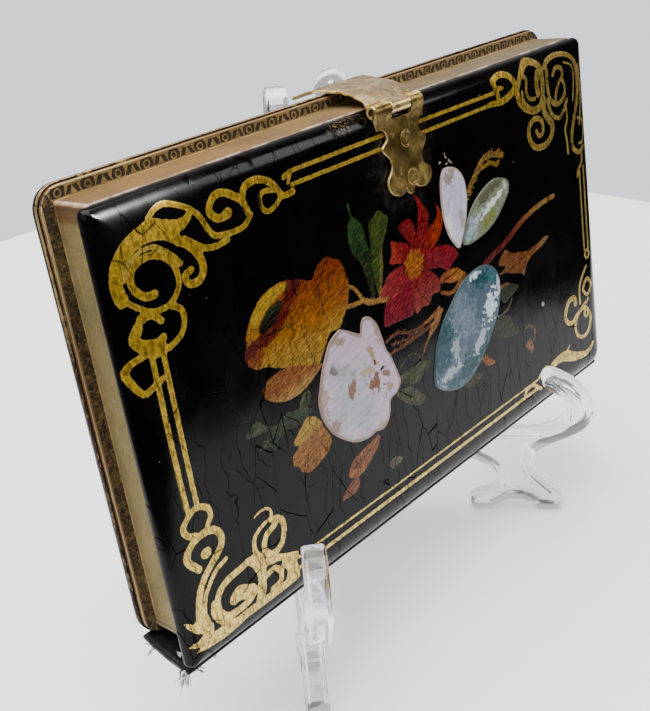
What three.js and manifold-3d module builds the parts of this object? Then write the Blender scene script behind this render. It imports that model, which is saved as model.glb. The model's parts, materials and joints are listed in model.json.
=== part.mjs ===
// A lacquered papier-mache card case in the form of a small book, lying open edge up on a clear
// folding easel. Lengths are millimetres. In the case's own frame X runs along the case, Y from
// its front to its back, and Z up its face, with the zero at the middle of the front board's rim.

import * as THREE from 'three';
import { mergeVertices } from 'three/addons/utils/BufferGeometryUtils.js';
import Module from 'manifold-3d';

const wasm = await Module();
wasm.setup();

// Boards: the pressed front and back covers, each with a rounded shoulder round a flat face.
const boardWidth = 114;
const boardHeight = 66.5;
const boardRise = 2.1;
const boardCorner = 3.2;
const shoulderWidth = 4;
const backEdge = 0.5;
const backLift = 2.2;
const backSlip = -0.4;

// Tray: the shallow paper-covered box between the boards, open towards the front board.
const traySideSetback = 1.7;
const trayShortfall = 3.3;
const trayDepth = 7.4;
const trayWall = 1.4;
const trayFloor = 0.6;
const trayCorner = 0.8;
const trayTopProud = 0.2;

// Lining: thin gilt-tooled leather on the inside of the back board.
const liningThickness = 0.4;
const liningMargin = 0.5;
const liningCorner = 3;

// Spine: the strip of leather that joins the two boards along the bottom.
const spineThickness = 0.8;
const spineEndGap = 0.3;
const spineBulge = 2.6;

// Clasp: hasp plate on the front board, barrel hinge at its top, strap over the fore-edge.
const claspX = -1;
const haspThickness = 0.5;
const haspHalfWidth = 5.4;
const haspDrop = 13.6;
const haspNeck = 0.8;
const bossRadius = 1.4;
const bossHeight = 0.55;
const bossHoleRadius = 0.7;
const bossX = [1.1, 1.7];
const bossDrop = [4.6, 10.6];
const barrelRadius = 1.05;
const barrelWall = 0.42;
const barrelLength = 11.6;
const tongueStart = 0.42;
const tongueEnd = 0.8;
const pinRadius = 0.42;
const strapThickness = 0.5;
const strapHalfWidth = 5.6;
const strapReach = 13.7;
const strapWave = 0.55;

// Shells: four thin mother-of-pearl pieces let into the front board.
const shellThickness = 0.7;
const shellProud = 0.25;
const shellDome = 0.12;
const shellBevel = 1;
const whitePetal = { length: 13.8, width: 6.4, x: 11.7, z: 13.5, tilt: 1.62, taper: 0.32 };
const greenPetal = { length: 15, width: 5.2, x: 21, z: 10.6, tilt: 0.42, taper: 0.1 };
const blueOval = { length: 23.6, width: 15.6, x: 12, z: -8.2, tilt: 0.93, taper: 0 };
const pinkBlossom = { width: 18, height: 19.2, x: -16.3, z: -6.6 };

// Easel: two equal clear plates hinged together on an upright pin at the back.
const easelThickness = 3.6;
const easelSpread = 40;
const easelOffset = -2.3;
const footFront = 56.4;
const footRear = 38.2;
const footArch = 2.6;
const ledgeHeight = 18.6;
const lipHeight = 31.6;
const lipReach = 60.2;
const waistReach = 49.2;
const armTop = 88;
const armWidth = 5.6;
const rearTop = 34;
const rearFoot = 12;
const hingeBehind = 28.7;
const knuckleRadius = 3;
const hingePinRadius = 1.3;
const knuckleCount = 4;

// How the case stands, and the spaces left between pieces.
const lean = 11.135;
const fitGap = 0.25;
const restGap = 0.3;
const holeClearance = 0.3;

const curveSteps = 7;
const leanAngle = THREE.MathUtils.degToRad(lean);
const spreadAngle = THREE.MathUtils.degToRad(easelSpread);

const trayWidth = boardWidth - 2 * traySideSetback;
const trayHeight = boardHeight - trayShortfall;
const spineLength = boardWidth - 2 * spineEndGap;
const backBoardBack = trayDepth + 2 * fitGap + liningThickness + backEdge + boardRise;
const backBoardFront = trayDepth + 2 * fitGap + liningThickness;
const frontTop = boardHeight / 2;
const facePlane = -boardRise;

// Joins and cuts.

function solidOf(geometry) {
  const bare = geometry.index ? geometry.toNonIndexed() : geometry.clone();
  bare.deleteAttribute('normal');
  bare.deleteAttribute('uv');
  const merged = mergeVertices(bare, 1e-4);
  return new wasm.Manifold(new wasm.Mesh({
    numProp: 3,
    vertProperties: new Float32Array(merged.attributes.position.array),
    triVerts: new Uint32Array(merged.index.array),
  }));
}

function geometryOf(solid) {
  const mesh = solid.getMesh();
  const geometry = new THREE.BufferGeometry();
  geometry.setAttribute('position', new THREE.BufferAttribute(mesh.vertProperties, 3));
  geometry.setIndex(new THREE.BufferAttribute(mesh.triVerts, 1));
  geometry.computeVertexNormals();
  return geometry;
}

function cut(body, ...tools) {
  return geometryOf(tools.reduce((left, tool) => left.subtract(solidOf(tool)), solidOf(body)));
}

function join(...pieces) {
  return geometryOf(pieces.slice(1).reduce((sum, one) => sum.add(solidOf(one)), solidOf(pieces[0])));
}

// A closed body through equal rings of points, flat at both ends. The rings run anticlockwise
// when looked at from the first towards the last ring's far side.
function stackRings(rings) {
  const count = rings[0].length;
  const middle = (ring) => ring.reduce((sum, p) => sum.add(p), new THREE.Vector3()).divideScalar(count);
  const points = [...rings.flat(), middle(rings[0]), middle(rings[rings.length - 1])];
  const index = [];
  for (let r = 0; r < rings.length - 1; r += 1) {
    for (let k = 0; k < count; k += 1) {
      const a = r * count + k;
      const b = r * count + (k + 1) % count;
      index.push(a, b, b + count, a, b + count, a + count);
    }
  }
  const last = (rings.length - 1) * count;
  for (let k = 0; k < count; k += 1) {
    const next = (k + 1) % count;
    index.push(points.length - 2, next, k);
    index.push(points.length - 1, last + k, last + next);
  }
  const geometry = new THREE.BufferGeometry().setFromPoints(points);
  geometry.setIndex(index);
  if (solidOf(geometry).volume() < 0) {
    geometry.setIndex(index.reverse());
  }
  return geometry;
}

function roundedRectangle(width, height, radius) {
  const outline = new THREE.Path();
  const x = width / 2;
  const z = height / 2;
  outline.absarc(x - radius, z - radius, radius, 0, Math.PI / 2);
  outline.absarc(radius - x, z - radius, radius, Math.PI / 2, Math.PI);
  outline.absarc(radius - x, radius - z, radius, Math.PI, 1.5 * Math.PI);
  outline.absarc(x - radius, radius - z, radius, 1.5 * Math.PI, 2 * Math.PI);
  return outline.getPoints(curveSteps).filter((p, k, all) => k === 0 || p.distanceTo(all[k - 1]) > 1e-6)
    .slice(0, -1);
}

function ringAt(points, y, shiftX = 0, shiftZ = 0) {
  return points.map((p) => new THREE.Vector3(p.x + shiftX, y, p.y + shiftZ));
}

// A board whose rim is at rimY and whose flat face lies boardRise away from it, with a quarter
// ellipse between them. The facing is -1 for the front board and 1 for the back one.
function boardGeometry(rimY, edge, facing, shiftX, shiftZ) {
  const rings = [];
  const outline = (inset) => roundedRectangle(boardWidth - 2 * inset, boardHeight - 2 * inset, boardCorner);
  if (edge > 0) {
    rings.push(ringAt(outline(0), rimY - facing * edge, shiftX, shiftZ));
  }
  for (let step = 0; step <= curveSteps; step += 1) {
    const turn = (step / curveSteps) * Math.PI / 2;
    const y = rimY + facing * boardRise * Math.sin(turn);
    rings.push(ringAt(outline(shoulderWidth * (1 - Math.cos(turn))), y, shiftX, shiftZ));
  }
  return stackRings(rings);
}

// A flat plate in the XZ plane from an outline, between two depths.
function plateGeometry(outline, fromY, toY) {
  const shape = new THREE.Shape(outline);
  const plate = new THREE.ExtrudeGeometry(shape, { depth: Math.abs(toY - fromY), bevelEnabled: false });
  plate.rotateX(Math.PI / 2);
  plate.translate(0, Math.max(fromY, toY), 0);
  return plate;
}

function boxBetween(x0, x1, y0, y1, z0, z1) {
  const box = new THREE.BoxGeometry(x1 - x0, y1 - y0, z1 - z0);
  box.translate((x0 + x1) / 2, (y0 + y1) / 2, (z0 + z1) / 2);
  return box;
}

function rodAlongX(radius, x0, x1, y, z, sides = 20) {
  const rod = new THREE.CylinderGeometry(radius, radius, x1 - x0, sides);
  rod.rotateZ(Math.PI / 2);
  rod.translate((x0 + x1) / 2, y, z);
  return rod;
}

// Outlines of the four shells on the face. A petal is an oval with pointed or full ends, wider
// towards its far end, and the blossom is a round with shallow lobes.

function petalOutline(petal, fullness) {
  const points = [];
  const sides = 28;
  const middle = new THREE.Vector2(petal.x, petal.z);
  for (let k = 0; k < sides; k += 1) {
    const turn = (k / sides) * 2 * Math.PI;
    const along = Math.cos(turn);
    const across = Math.sign(Math.sin(turn)) * Math.abs(Math.sin(turn)) ** fullness;
    const width = across * (1 + petal.taper * along) * petal.width / 2;
    const point = new THREE.Vector2(along * petal.length / 2, width);
    points.push(point.rotateAround(new THREE.Vector2(), petal.tilt).add(middle));
  }
  return points;
}

function lobedOutline(blossom, lobes) {
  const points = [];
  const sides = 40;
  for (let k = 0; k < sides; k += 1) {
    const turn = (k / sides) * 2 * Math.PI;
    const swell = lobes.reduce((sum, [count, depth, phase]) => sum + depth * Math.cos(count * turn - phase), 1);
    points.push(new THREE.Vector2(
      blossom.x + (blossom.width / 2) * swell * Math.cos(turn),
      blossom.z + (blossom.height / 2) * swell * Math.sin(turn),
    ));
  }
  return points;
}

const shells = {
  shell_white_petal: petalOutline(whitePetal, 1.1),
  shell_green_petal: petalOutline(greenPetal, 1.15),
  shell_blue_oval: petalOutline(blueOval, 0.9),
  shell_pink_blossom: lobedOutline(pinkBlossom, [[3, 0.05, 2.2], [5, 0.035, 1.2], [2, 0.04, 0.4]]),
};

function grown(outline, by) {
  const middle = outline.reduce((sum, p) => sum.add(p), new THREE.Vector2()).divideScalar(outline.length);
  return outline.map((p) => {
    const away = p.clone().sub(middle);
    return middle.clone().add(away.setLength(away.length() + by));
  });
}

function shellGeometry(outline) {
  const front = facePlane - shellProud;
  return stackRings([
    ringAt(outline, front + shellThickness),
    ringAt(outline, front + shellDome),
    ringAt(grown(outline, -shellBevel), front),
  ]);
}

function frontBoard() {
  const pockets = Object.values(shells).map((outline) => plateGeometry(
    grown(outline, fitGap),
    facePlane - 1,
    facePlane - shellProud + shellThickness + fitGap,
  ));
  const rivetHoles = bossX.map((x, k) => {
    const hole = new THREE.CylinderGeometry(bossHoleRadius + fitGap, bossHoleRadius + fitGap, 2, 12);
    hole.translate(x, facePlane, haspTop - bossDrop[k]);
    return hole;
  });
  return cut(boardGeometry(0, 0, -1, 0, 0), ...pockets, ...rivetHoles);
}

function backBoard() {
  return boardGeometry(backBoardFront + backEdge, backEdge, 1, backSlip, backLift);
}

function lining() {
  const outline = roundedRectangle(boardWidth - 2 * liningMargin, boardHeight - 2 * liningMargin, liningCorner);
  return plateGeometry(
    outline.map((p) => new THREE.Vector2(p.x + backSlip, p.y + backLift)),
    trayDepth + fitGap,
    trayDepth + fitGap + liningThickness,
  );
}

const trayTop = frontTop + trayTopProud;
const trayBottom = trayTop - trayHeight;

function tray() {
  const outline = (inset, radius) => roundedRectangle(trayWidth - 2 * inset, trayHeight - 2 * inset, radius)
    .map((p) => new THREE.Vector2(p.x, p.y + (trayTop + trayBottom) / 2));
  return cut(
    plateGeometry(outline(0, trayCorner), fitGap, trayDepth),
    plateGeometry(outline(trayWall, trayCorner / 2), fitGap - 1, trayDepth - trayFloor),
  );
}

// The spine's middle line bulges down and back from the front board's rim to the back board's.
function spine() {
  const half = spineThickness / 2;
  const start = new THREE.Vector2(fitGap, -frontTop - fitGap - half);
  const end = new THREE.Vector2(backBoardFront + 2 * backEdge, backLift - frontTop - fitGap - half);
  const bulge = start.clone().add(end).multiplyScalar(0.5).add(new THREE.Vector2(0, -spineBulge));
  const line = new THREE.QuadraticBezierCurve(start, bulge, end);
  const side = (sign) => line.getPoints(curveSteps * 2).map((p, k, all) => {
    const way = line.getTangent(k / (all.length - 1));
    return new THREE.Vector2(p.x - sign * half * way.y, p.y + sign * half * way.x);
  });
  const section = [...side(-1), ...side(1).reverse()];
  const strip = new THREE.ExtrudeGeometry(new THREE.Shape(section), { depth: spineLength, bevelEnabled: false });
  strip.rotateX(Math.PI / 2);
  strip.rotateZ(Math.PI / 2);
  strip.translate(-spineLength / 2, 0, 0);
  return strip;
}

// The barrel hinge stands at the top of the hasp plate, just clear of the board's shoulder.
const plateFront = facePlane - fitGap - haspThickness;
const barrelY = plateFront + haspThickness / 2 + fitGap;
const barrelZ = frontTop - fitGap;
const haspTop = barrelZ - barrelRadius / 2;
const barrelLeft = claspX - barrelLength / 2;
const tongueLeft = barrelLeft + tongueStart * barrelLength;
const tongueRight = barrelLeft + tongueEnd * barrelLength;

function haspOutline() {
  const w = haspHalfWidth;
  const outline = new THREE.Shape();
  const top = haspTop;
  const x = claspX + 1;
  outline.moveTo(x - w, top);
  outline.bezierCurveTo(x - w, top - 1.6, x - w + haspNeck * 2, top - 2, x - w + haspNeck, top - 3.6);
  outline.bezierCurveTo(x - w + 0.2, top - 4.4, x - w + 0.2, top - 5.6, x - w + haspNeck, top - 6.4);
  outline.bezierCurveTo(x - w + haspNeck * 2, top - 7.2, x - w + haspNeck * 1.6, top - 8.4, x - w + 0.9, top - 9.6);
  outline.bezierCurveTo(x - w - 0.2, top - 11.2, x - w + 0.4, top - haspDrop, x - w / 2, top - haspDrop + 0.4);
  outline.bezierCurveTo(x - w / 4, top - haspDrop + 0.6, x - w / 4, top - haspDrop + 1.8, x, top - haspDrop + 1.2);
  outline.bezierCurveTo(x + w / 4, top - haspDrop + 1.8, x + w / 4, top - haspDrop + 0.6, x + w / 2, top - haspDrop + 0.4);
  outline.bezierCurveTo(x + w - 0.4, top - haspDrop, x + w + 0.2, top - 11.2, x + w - 0.9, top - 9.6);
  outline.bezierCurveTo(x + w - haspNeck * 1.6, top - 8.4, x + w - haspNeck * 2, top - 7.2, x + w - haspNeck, top - 6.4);
  outline.bezierCurveTo(x + w - 0.2, top - 5.6, x + w - 0.2, top - 4.4, x + w - haspNeck, top - 3.6);
  outline.bezierCurveTo(x + w - haspNeck * 2, top - 2, x + w, top - 1.6, x + w, top);
  return outline.getPoints(curveSteps - 2);
}

function barrel(x0, x1) {
  const turned = rodAlongX(barrelRadius, x0, x1, barrelY, barrelZ);
  const bore = rodAlongX(barrelRadius - barrelWall, x0 - 1, x1 + 1, barrelY, barrelZ);
  return cut(turned, bore);
}

function haspPlate() {
  const plate = plateGeometry(haspOutline(), plateFront, plateFront + haspThickness);
  const holes = bossX.map((x, k) => {
    const hole = new THREE.CylinderGeometry(bossHoleRadius + fitGap, bossHoleRadius + fitGap, 4, 12);
    hole.translate(x, plateFront, haspTop - bossDrop[k]);
    return hole;
  });
  const bore = rodAlongX(barrelRadius - barrelWall, barrelLeft - 1, barrelLeft + barrelLength + 1, barrelY, barrelZ);
  const slot = boxBetween(
    tongueLeft - fitGap,
    tongueRight + fitGap,
    barrelY - 3,
    barrelY + 3,
    barrelZ - barrelRadius - fitGap,
    barrelZ + 3,
  );
  const full = join(
    plate,
    boxBetween(barrelLeft, barrelLeft + barrelLength, plateFront, plateFront + haspThickness, haspTop - 0.4, barrelZ - 0.3),
    rodAlongX(barrelRadius, barrelLeft, barrelLeft + barrelLength, barrelY, barrelZ),
  );
  return cut(full, bore, slot, ...holes);
}

function rivet(x, drop) {
  const points = [new THREE.Vector2(0, 0)];
  const head = plateFront - fitGap / 2;
  const foot = facePlane + 0.7;
  points[0].set(0, -foot);
  points.push(new THREE.Vector2(bossHoleRadius, -foot));
  points.push(new THREE.Vector2(bossHoleRadius, -head));
  points.push(new THREE.Vector2(bossRadius, -head));
  for (let step = 1; step <= 4; step += 1) {
    const turn = (step / 4) * Math.PI / 2;
    points.push(new THREE.Vector2(bossRadius * Math.cos(turn), -head + bossHeight * Math.sin(turn)));
  }
  points[points.length - 1].x = 0;
  const dome = new THREE.LatheGeometry(points, 16);
  dome.rotateX(Math.PI);
  dome.translate(x, 0, haspTop - drop);
  return dome;
}

// The strap rises from the barrel over the tray and the back board's rim, with a wavy edge.
function strap() {
  const low = barrelZ + barrelRadius - strapThickness / 2;
  const high = frontTop + backLift + fitGap + strapThickness;
  const wide = barrelY + barrelRadius + fitGap;
  const end = barrelY + strapReach;
  const height = (y) => {
    const share = THREE.MathUtils.smoothstep(y, barrelY, barrelY + 0.72 * strapReach);
    const droop = Math.max(0, y - (end - 1.8)) ** 2 * 0.16;
    return THREE.MathUtils.lerp(low, high, share) - droop;
  };
  const station = (y, left, right) => [
    new THREE.Vector3(left, y, height(y) - strapThickness / 2),
    new THREE.Vector3(right, y, height(y) - strapThickness / 2),
    new THREE.Vector3(right, y, height(y) + strapThickness / 2),
    new THREE.Vector3(left, y, height(y) + strapThickness / 2),
  ];
  const blade = [];
  const stations = 22;
  for (let k = 0; k <= stations; k += 1) {
    const share = k / stations;
    const y = THREE.MathUtils.lerp(wide, end, share);
    const wave = strapWave * Math.sin(share * 2.5 * Math.PI) * (1 - 0.3 * share);
    const round = 1.4 * Math.max(0, share - 0.86) / 0.14;
    const half = strapHalfWidth + wave - round * round;
    blade.push(station(y, claspX - half, claspX + half));
  }
  const tongue = [];
  for (let k = 0; k <= 4; k += 1) {
    tongue.push(station(THREE.MathUtils.lerp(barrelY, wide + 0.5, k / 4), tongueLeft, tongueRight));
  }
  const eye = rodAlongX(barrelRadius, tongueLeft, tongueRight, barrelY, barrelZ);
  const bore = rodAlongX(barrelRadius - barrelWall, tongueLeft - 1, tongueRight + 1, barrelY, barrelZ);
  return cut(join(stackRings(blade), stackRings(tongue), eye), bore);
}

function claspPin() {
  return rodAlongX(pinRadius, barrelLeft - 0.3, barrelLeft + barrelLength + 0.3, barrelY, barrelZ, 14);
}

// One easel half lies in a plane: U runs forward from the hinge line, V up from the table.

function backPlaneAt(height, caseMiddle) {
  return backBoardBack / Math.cos(leanAngle) + (height - caseMiddle) * Math.tan(leanAngle);
}

function easelOutline(caseMiddle) {
  const armAt = (v) => (hingeBehind - backPlaneAt(v, caseMiddle) - restGap) / Math.cos(spreadAngle)
    - (easelThickness / 2) * Math.tan(spreadAngle);
  const hub = knuckleRadius + holeClearance;
  const outline = new THREE.Shape();
  outline.moveTo(footFront - 1, 0);
  outline.quadraticCurveTo(footFront + 0.4, 1.6, footFront - 0.6, 3.6);
  outline.quadraticCurveTo(footFront - 2.4, 5.4, waistReach + 2.6, 7.4);
  outline.quadraticCurveTo(waistReach - 1, 10.6, waistReach + 0.4, 13.6);
  outline.bezierCurveTo(waistReach + 3, 16.8, lipReach - 1.6, 17.4, lipReach - 0.4, 21.6);
  outline.bezierCurveTo(lipReach + 1, 26.4, lipReach - 4.4, lipHeight - 1.8, lipReach - 8, lipHeight - 0.2);
  outline.bezierCurveTo(lipReach - 10.4, lipHeight + 0.6, lipReach - 11.6, lipHeight - 2.4, lipReach - 9.6, lipHeight - 3.4);
  outline.bezierCurveTo(lipReach - 5, lipHeight - 5.6, lipReach - 4.6, ledgeHeight + 1.8, lipReach - 8, ledgeHeight + 0.9);
  outline.quadraticCurveTo(lipReach - 10.4, ledgeHeight, lipReach - 14, ledgeHeight);
  outline.lineTo(armAt(ledgeHeight) + 2.4, ledgeHeight);
  outline.quadraticCurveTo(armAt(ledgeHeight + 1), ledgeHeight, armAt(ledgeHeight + 2.4), ledgeHeight + 2.4);
  outline.lineTo(armAt(armTop - armWidth / 2), armTop - armWidth / 2);
  const tip = armAt(armTop - armWidth / 2) - armWidth / 2;
  outline.absarc(tip, armTop - armWidth / 2, armWidth / 2, 0, Math.PI, false);
  outline.lineTo(armAt(rearTop + 14) - armWidth * 1.3, rearTop + 14);
  outline.quadraticCurveTo(armAt(rearTop) - armWidth * 1.9, rearTop, hub, rearTop);
  outline.lineTo(hub, 0);
  outline.lineTo(rearFoot, 0);
  outline.quadraticCurveTo(rearFoot + 1, 3.4, rearFoot + 4, 6.6);
  outline.bezierCurveTo(rearFoot + 9, 12.6, footRear - 4, 15.4, footRear + 2.4, 10.6);
  outline.quadraticCurveTo(footRear + 7, 6.4, footRear + 3.2, 3.6);
  outline.quadraticCurveTo(footRear - 1, 2.8, footRear, 0.8);
  outline.quadraticCurveTo(footRear + 0.4, 0, footRear + 1.6, 0);
  outline.lineTo(footRear + 4, 0);
  outline.bezierCurveTo(footRear + 7, footArch * 1.3, footFront - 8, footArch * 1.3, footFront - 5, 0);
  return outline.getPoints(curveSteps - 1);
}

// The knuckles of the two halves take turns up the pin, from the table to the top of the hinge.
function easelHalf(caseMiddle, side) {
  const outline = easelOutline(caseMiddle).filter((p, k, all) => k === 0 || p.distanceTo(all[k - 1]) > 1e-4);
  const plate = new THREE.ExtrudeGeometry(new THREE.Shape(outline), { depth: easelThickness, bevelEnabled: false });
  plate.translate(0, 0, -easelThickness / 2);
  plate.rotateX(Math.PI / 2);
  const pitch = rearTop / knuckleCount;
  const added = [];
  for (let k = side > 0 ? 0 : 1; k < knuckleCount; k += 2) {
    const low = k * pitch + holeClearance / 2;
    const high = (k + 1) * pitch - holeClearance / 2;
    const knuckle = new THREE.CylinderGeometry(knuckleRadius, knuckleRadius, high - low, 24);
    knuckle.rotateX(Math.PI / 2);
    knuckle.translate(0, 0, (low + high) / 2);
    const arm = boxBetween(0, knuckleRadius + holeClearance + 1, -easelThickness / 2, easelThickness / 2, low, high);
    added.push(knuckle, arm);
  }
  const bore = new THREE.CylinderGeometry(hingePinRadius + holeClearance, hingePinRadius + holeClearance, 3 * rearTop, 20);
  bore.rotateX(Math.PI / 2);
  const half = cut(join(plate, ...added), bore);
  half.rotateZ(-Math.PI / 2 + side * spreadAngle);
  half.translate(easelOffset, hingeBehind, 0);
  return half;
}

function easelPin() {
  const pin = new THREE.CylinderGeometry(hingePinRadius, hingePinRadius, rearTop, 20);
  pin.rotateX(Math.PI / 2);
  pin.translate(easelOffset, hingeBehind, rearTop / 2);
  return pin;
}

function named(name, geometry, color, roughness, metalness, extra = {}) {
  const mesh = new THREE.Mesh(geometry, new THREE.MeshStandardMaterial({ color, roughness, metalness, ...extra }));
  mesh.name = name;
  return mesh;
}

const lacquer = [0x0c0b0b, 0.18, 0];
const paper = [0xa78a55, 0.8, 0];
const brass = [0x9a7f43, 0.38, 1];
const pearl = [0xcfd3d6, 0.25, 0];
const clear = [0xf1f4f6, 0.05, 0, { transparent: true, opacity: 0.3 }];

const cardCase = new THREE.Group();
cardCase.add(named('front_board', frontBoard(), ...lacquer));
cardCase.add(named('back_board', backBoard(), ...lacquer));
cardCase.add(named('lining', lining(), 0x4a3120, 0.6, 0));
cardCase.add(named('tray', tray(), ...paper));
cardCase.add(named('spine', spine(), 0x14110f, 0.5, 0));
cardCase.add(named('hasp_plate', haspPlate(), ...brass));
cardCase.add(named('rivet_upper', rivet(bossX[0], bossDrop[0]), ...brass));
cardCase.add(named('rivet_lower', rivet(bossX[1], bossDrop[1]), ...brass));
cardCase.add(named('clasp_pin', claspPin(), ...brass));
cardCase.add(named('clasp_strap', strap(), ...brass));
for (const [name, outline] of Object.entries(shells)) {
  cardCase.add(named(name, shellGeometry(outline), ...pearl));
}

// The case leans back and stands on the ledge, on the lowest line of its spine.
cardCase.rotation.x = -leanAngle;
const caseLow = new THREE.Box3().setFromObject(cardCase, true).min.z;
const caseMiddle = ledgeHeight + restGap - caseLow;
cardCase.position.z = caseMiddle;

const model = new THREE.Group();
model.add(cardCase);
model.add(named('easel_left', easelHalf(caseMiddle, -1), ...clear));
model.add(named('easel_right', easelHalf(caseMiddle, 1), ...clear));
model.add(named('easel_pin', easelPin(), ...clear));

// The origin is on the table, under the middle of the whole.
const whole = new THREE.Box3().setFromObject(model, true);
model.position.x = -(whole.min.x + whole.max.x) / 2;
model.position.y = -(whole.min.y + whole.max.y) / 2;
model.position.z = -whole.min.z;

export default model;
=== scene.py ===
import bmesh
import bpy
import json
import math
import numpy as np
from mathutils import Matrix, Vector
from mathutils.geometry import tessellate_polygon


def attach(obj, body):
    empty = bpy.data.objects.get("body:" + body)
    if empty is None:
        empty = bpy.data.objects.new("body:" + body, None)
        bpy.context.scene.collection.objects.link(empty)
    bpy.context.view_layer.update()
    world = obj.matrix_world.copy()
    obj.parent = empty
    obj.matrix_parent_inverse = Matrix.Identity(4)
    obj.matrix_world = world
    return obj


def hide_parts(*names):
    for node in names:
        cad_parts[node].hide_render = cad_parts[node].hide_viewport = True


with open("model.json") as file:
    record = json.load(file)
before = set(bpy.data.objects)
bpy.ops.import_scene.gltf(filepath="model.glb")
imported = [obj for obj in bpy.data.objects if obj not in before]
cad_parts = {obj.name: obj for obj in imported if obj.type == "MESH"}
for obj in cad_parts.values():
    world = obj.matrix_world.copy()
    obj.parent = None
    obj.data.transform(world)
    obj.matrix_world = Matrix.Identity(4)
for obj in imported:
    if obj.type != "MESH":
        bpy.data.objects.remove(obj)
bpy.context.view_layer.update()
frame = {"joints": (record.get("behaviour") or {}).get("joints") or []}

# Table and light. The case stands on a small round white table, in soft light from above and
# behind, with a dark room before it, so the lacquer mirrors the table low down and is black above.
LEAN = math.radians(11.135)
COVER_PIVOT = Vector((0, 0.1, -33.4))
hinges = {joint["name"]: Vector(joint["pos_m"]) for joint in frame["joints"]}
case_turn = Matrix.Rotation(-LEAN, 4, "X")
case_place = Matrix.Translation(hinges["cover_hinge"]) @ case_turn @ Matrix.Translation(-COVER_PIVOT / 1000)
case_origin = case_place.translation

TABLE_RADIUS = 0.168
TABLE_MIDDLE = (0.030, 0.015)
CAMERA_FROM_CASE = Vector((-0.12190, -0.09126, 0.07973))
CAMERA_AXIS = Vector((0.66228, 0.58434, -0.46896))
CAMERA_UP = Vector((0.35165, 0.31027, 0.88322))
FOCAL_PIXELS = 1046.5
IMAGE_WIDTH, IMAGE_HEIGHT = 650, 711
AXIS_PIXEL = (335.5, 309.9)


def link(obj):
    bpy.context.scene.collection.objects.link(obj)
    return obj


def area_light(name, place, aim, size, power, color=(1, 1, 1)):
    light = bpy.data.lights.new(name, "AREA")
    light.shape = "RECTANGLE"
    light.size, light.size_y = size
    light.energy = power
    light.color = color
    lamp = link(bpy.data.objects.new(name, light))
    lamp.location = place
    lamp.rotation_euler = (Vector(aim) - Vector(place)).to_track_quat("-Z", "Y").to_euler()
    return lamp


bpy.ops.mesh.primitive_circle_add(vertices=256, radius=TABLE_RADIUS, fill_type="NGON")
table_top = bpy.context.object
table_top.name = "table_top"
table_top.location = (case_origin.x + TABLE_MIDDLE[0], case_origin.y + TABLE_MIDDLE[1], -0.0003)
table_white = bpy.data.materials.new("white_table")
table_white.use_nodes = True
for socket, value in (("Base Color", (0.88, 0.89, 0.91, 1)), ("Roughness", 0.42), ("Emission Color", (1, 1, 1, 1)),
        ("Emission Strength", 0.34)):
    table_white.node_tree.nodes["Principled BSDF"].inputs[socket].default_value = value
table_top.data.materials.append(table_white)

area_light("soft_top", (-0.10, 0.10, 0.75), (0.02, 0.02, 0), (0.8, 0.8), 17, (1, 0.99, 0.97))
area_light("window_right", (0.50, -0.42, 0.50), (0, 0, 0.05), (0.22, 0.30), 1.5, (0.95, 0.98, 1))
area_light("fill_left", (-0.65, -0.15, 0.30), (0, 0, 0.05), (0.5, 0.5), 1.3, (0.97, 0.98, 1))

# A small lamp that only the polished shoulder at the case's upper left corner mirrors.
CORNER_LAMP_AWAY = 0.12
shoulder = case_place @ Vector((-0.0503, -0.0022, 0.0316))
shoulder_way = (case_turn @ Vector((-0.1, -0.86, 0.5))).normalized()
seen_along = (shoulder - case_origin - CAMERA_FROM_CASE).normalized()
mirrored = seen_along - 2 * seen_along.dot(shoulder_way) * shoulder_way
corner_lamp = area_light("corner_lamp", shoulder + CORNER_LAMP_AWAY * mirrored, shoulder, (0.014, 0.03), 1.1, (1, 1, 1))
corner_lamp.visible_camera = corner_lamp.visible_diffuse = corner_lamp.visible_transmission = False
corner_lit = bpy.data.collections.new("lit_by_corner_lamp")
corner_lamp.light_linking.receiver_collection = corner_lit

world = bpy.data.worlds.new("room")
bpy.context.scene.world = world
world.use_nodes = True
room = world.node_tree
room.nodes.clear()
room_out, room_mix, room_path, room_seen, room_felt, room_way, room_split, room_fade = (
    room.nodes.new("ShaderNode" + kind) for kind in (
        "OutputWorld", "MixShader", "LightPath", "Background", "Background", "TexCoord", "SeparateXYZ", "MapRange"))
room_seen.inputs["Color"].default_value = (1.2, 1.28, 1.33, 1)
for socket, value in (("From Min", -0.15), ("From Max", 0.35), ("To Min", 0.03), ("To Max", 0.75)):
    room_fade.inputs[socket].default_value = value
for source, target in (
    (room_way.outputs["Generated"], room_split.inputs[0]),
    (room_split.outputs["Y"], room_fade.inputs["Value"]),
    (room_fade.outputs[0], room_felt.inputs["Strength"]),
    (room_path.outputs["Is Camera Ray"], room_mix.inputs["Fac"]),
    (room_felt.outputs[0], room_mix.inputs[1]),
    (room_seen.outputs[0], room_mix.inputs[2]),
    (room_mix.outputs[0], room_out.inputs["Surface"]),
):
    room.links.new(source, target)

camera_data = bpy.data.cameras.new("camera")
camera = link(bpy.data.objects.new("camera", camera_data))
camera_right = CAMERA_AXIS.cross(CAMERA_UP).normalized()
camera_up = camera_right.cross(CAMERA_AXIS).normalized()
camera.matrix_world = Matrix([
    (camera_right[k], camera_up[k], -CAMERA_AXIS[k], case_origin[k] + CAMERA_FROM_CASE[k]) for k in range(3)
] + [(0, 0, 0, 1)])
camera_data.sensor_width = 36
camera_data.lens = FOCAL_PIXELS / IMAGE_HEIGHT * camera_data.sensor_width
camera_data.shift_x = (IMAGE_WIDTH / 2 - AXIS_PIXEL[0]) / IMAGE_HEIGHT
camera_data.shift_y = (AXIS_PIXEL[1] - IMAGE_HEIGHT / 2) / IMAGE_HEIGHT
camera_data.clip_start = 0.005
bpy.context.scene.camera = camera


# Front board: a pressed papier-mache board with a rounded shoulder round its flat face, black
# lacquered, then gilt and painted, and varnished. The paint lies flush under the varnish.


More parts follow.
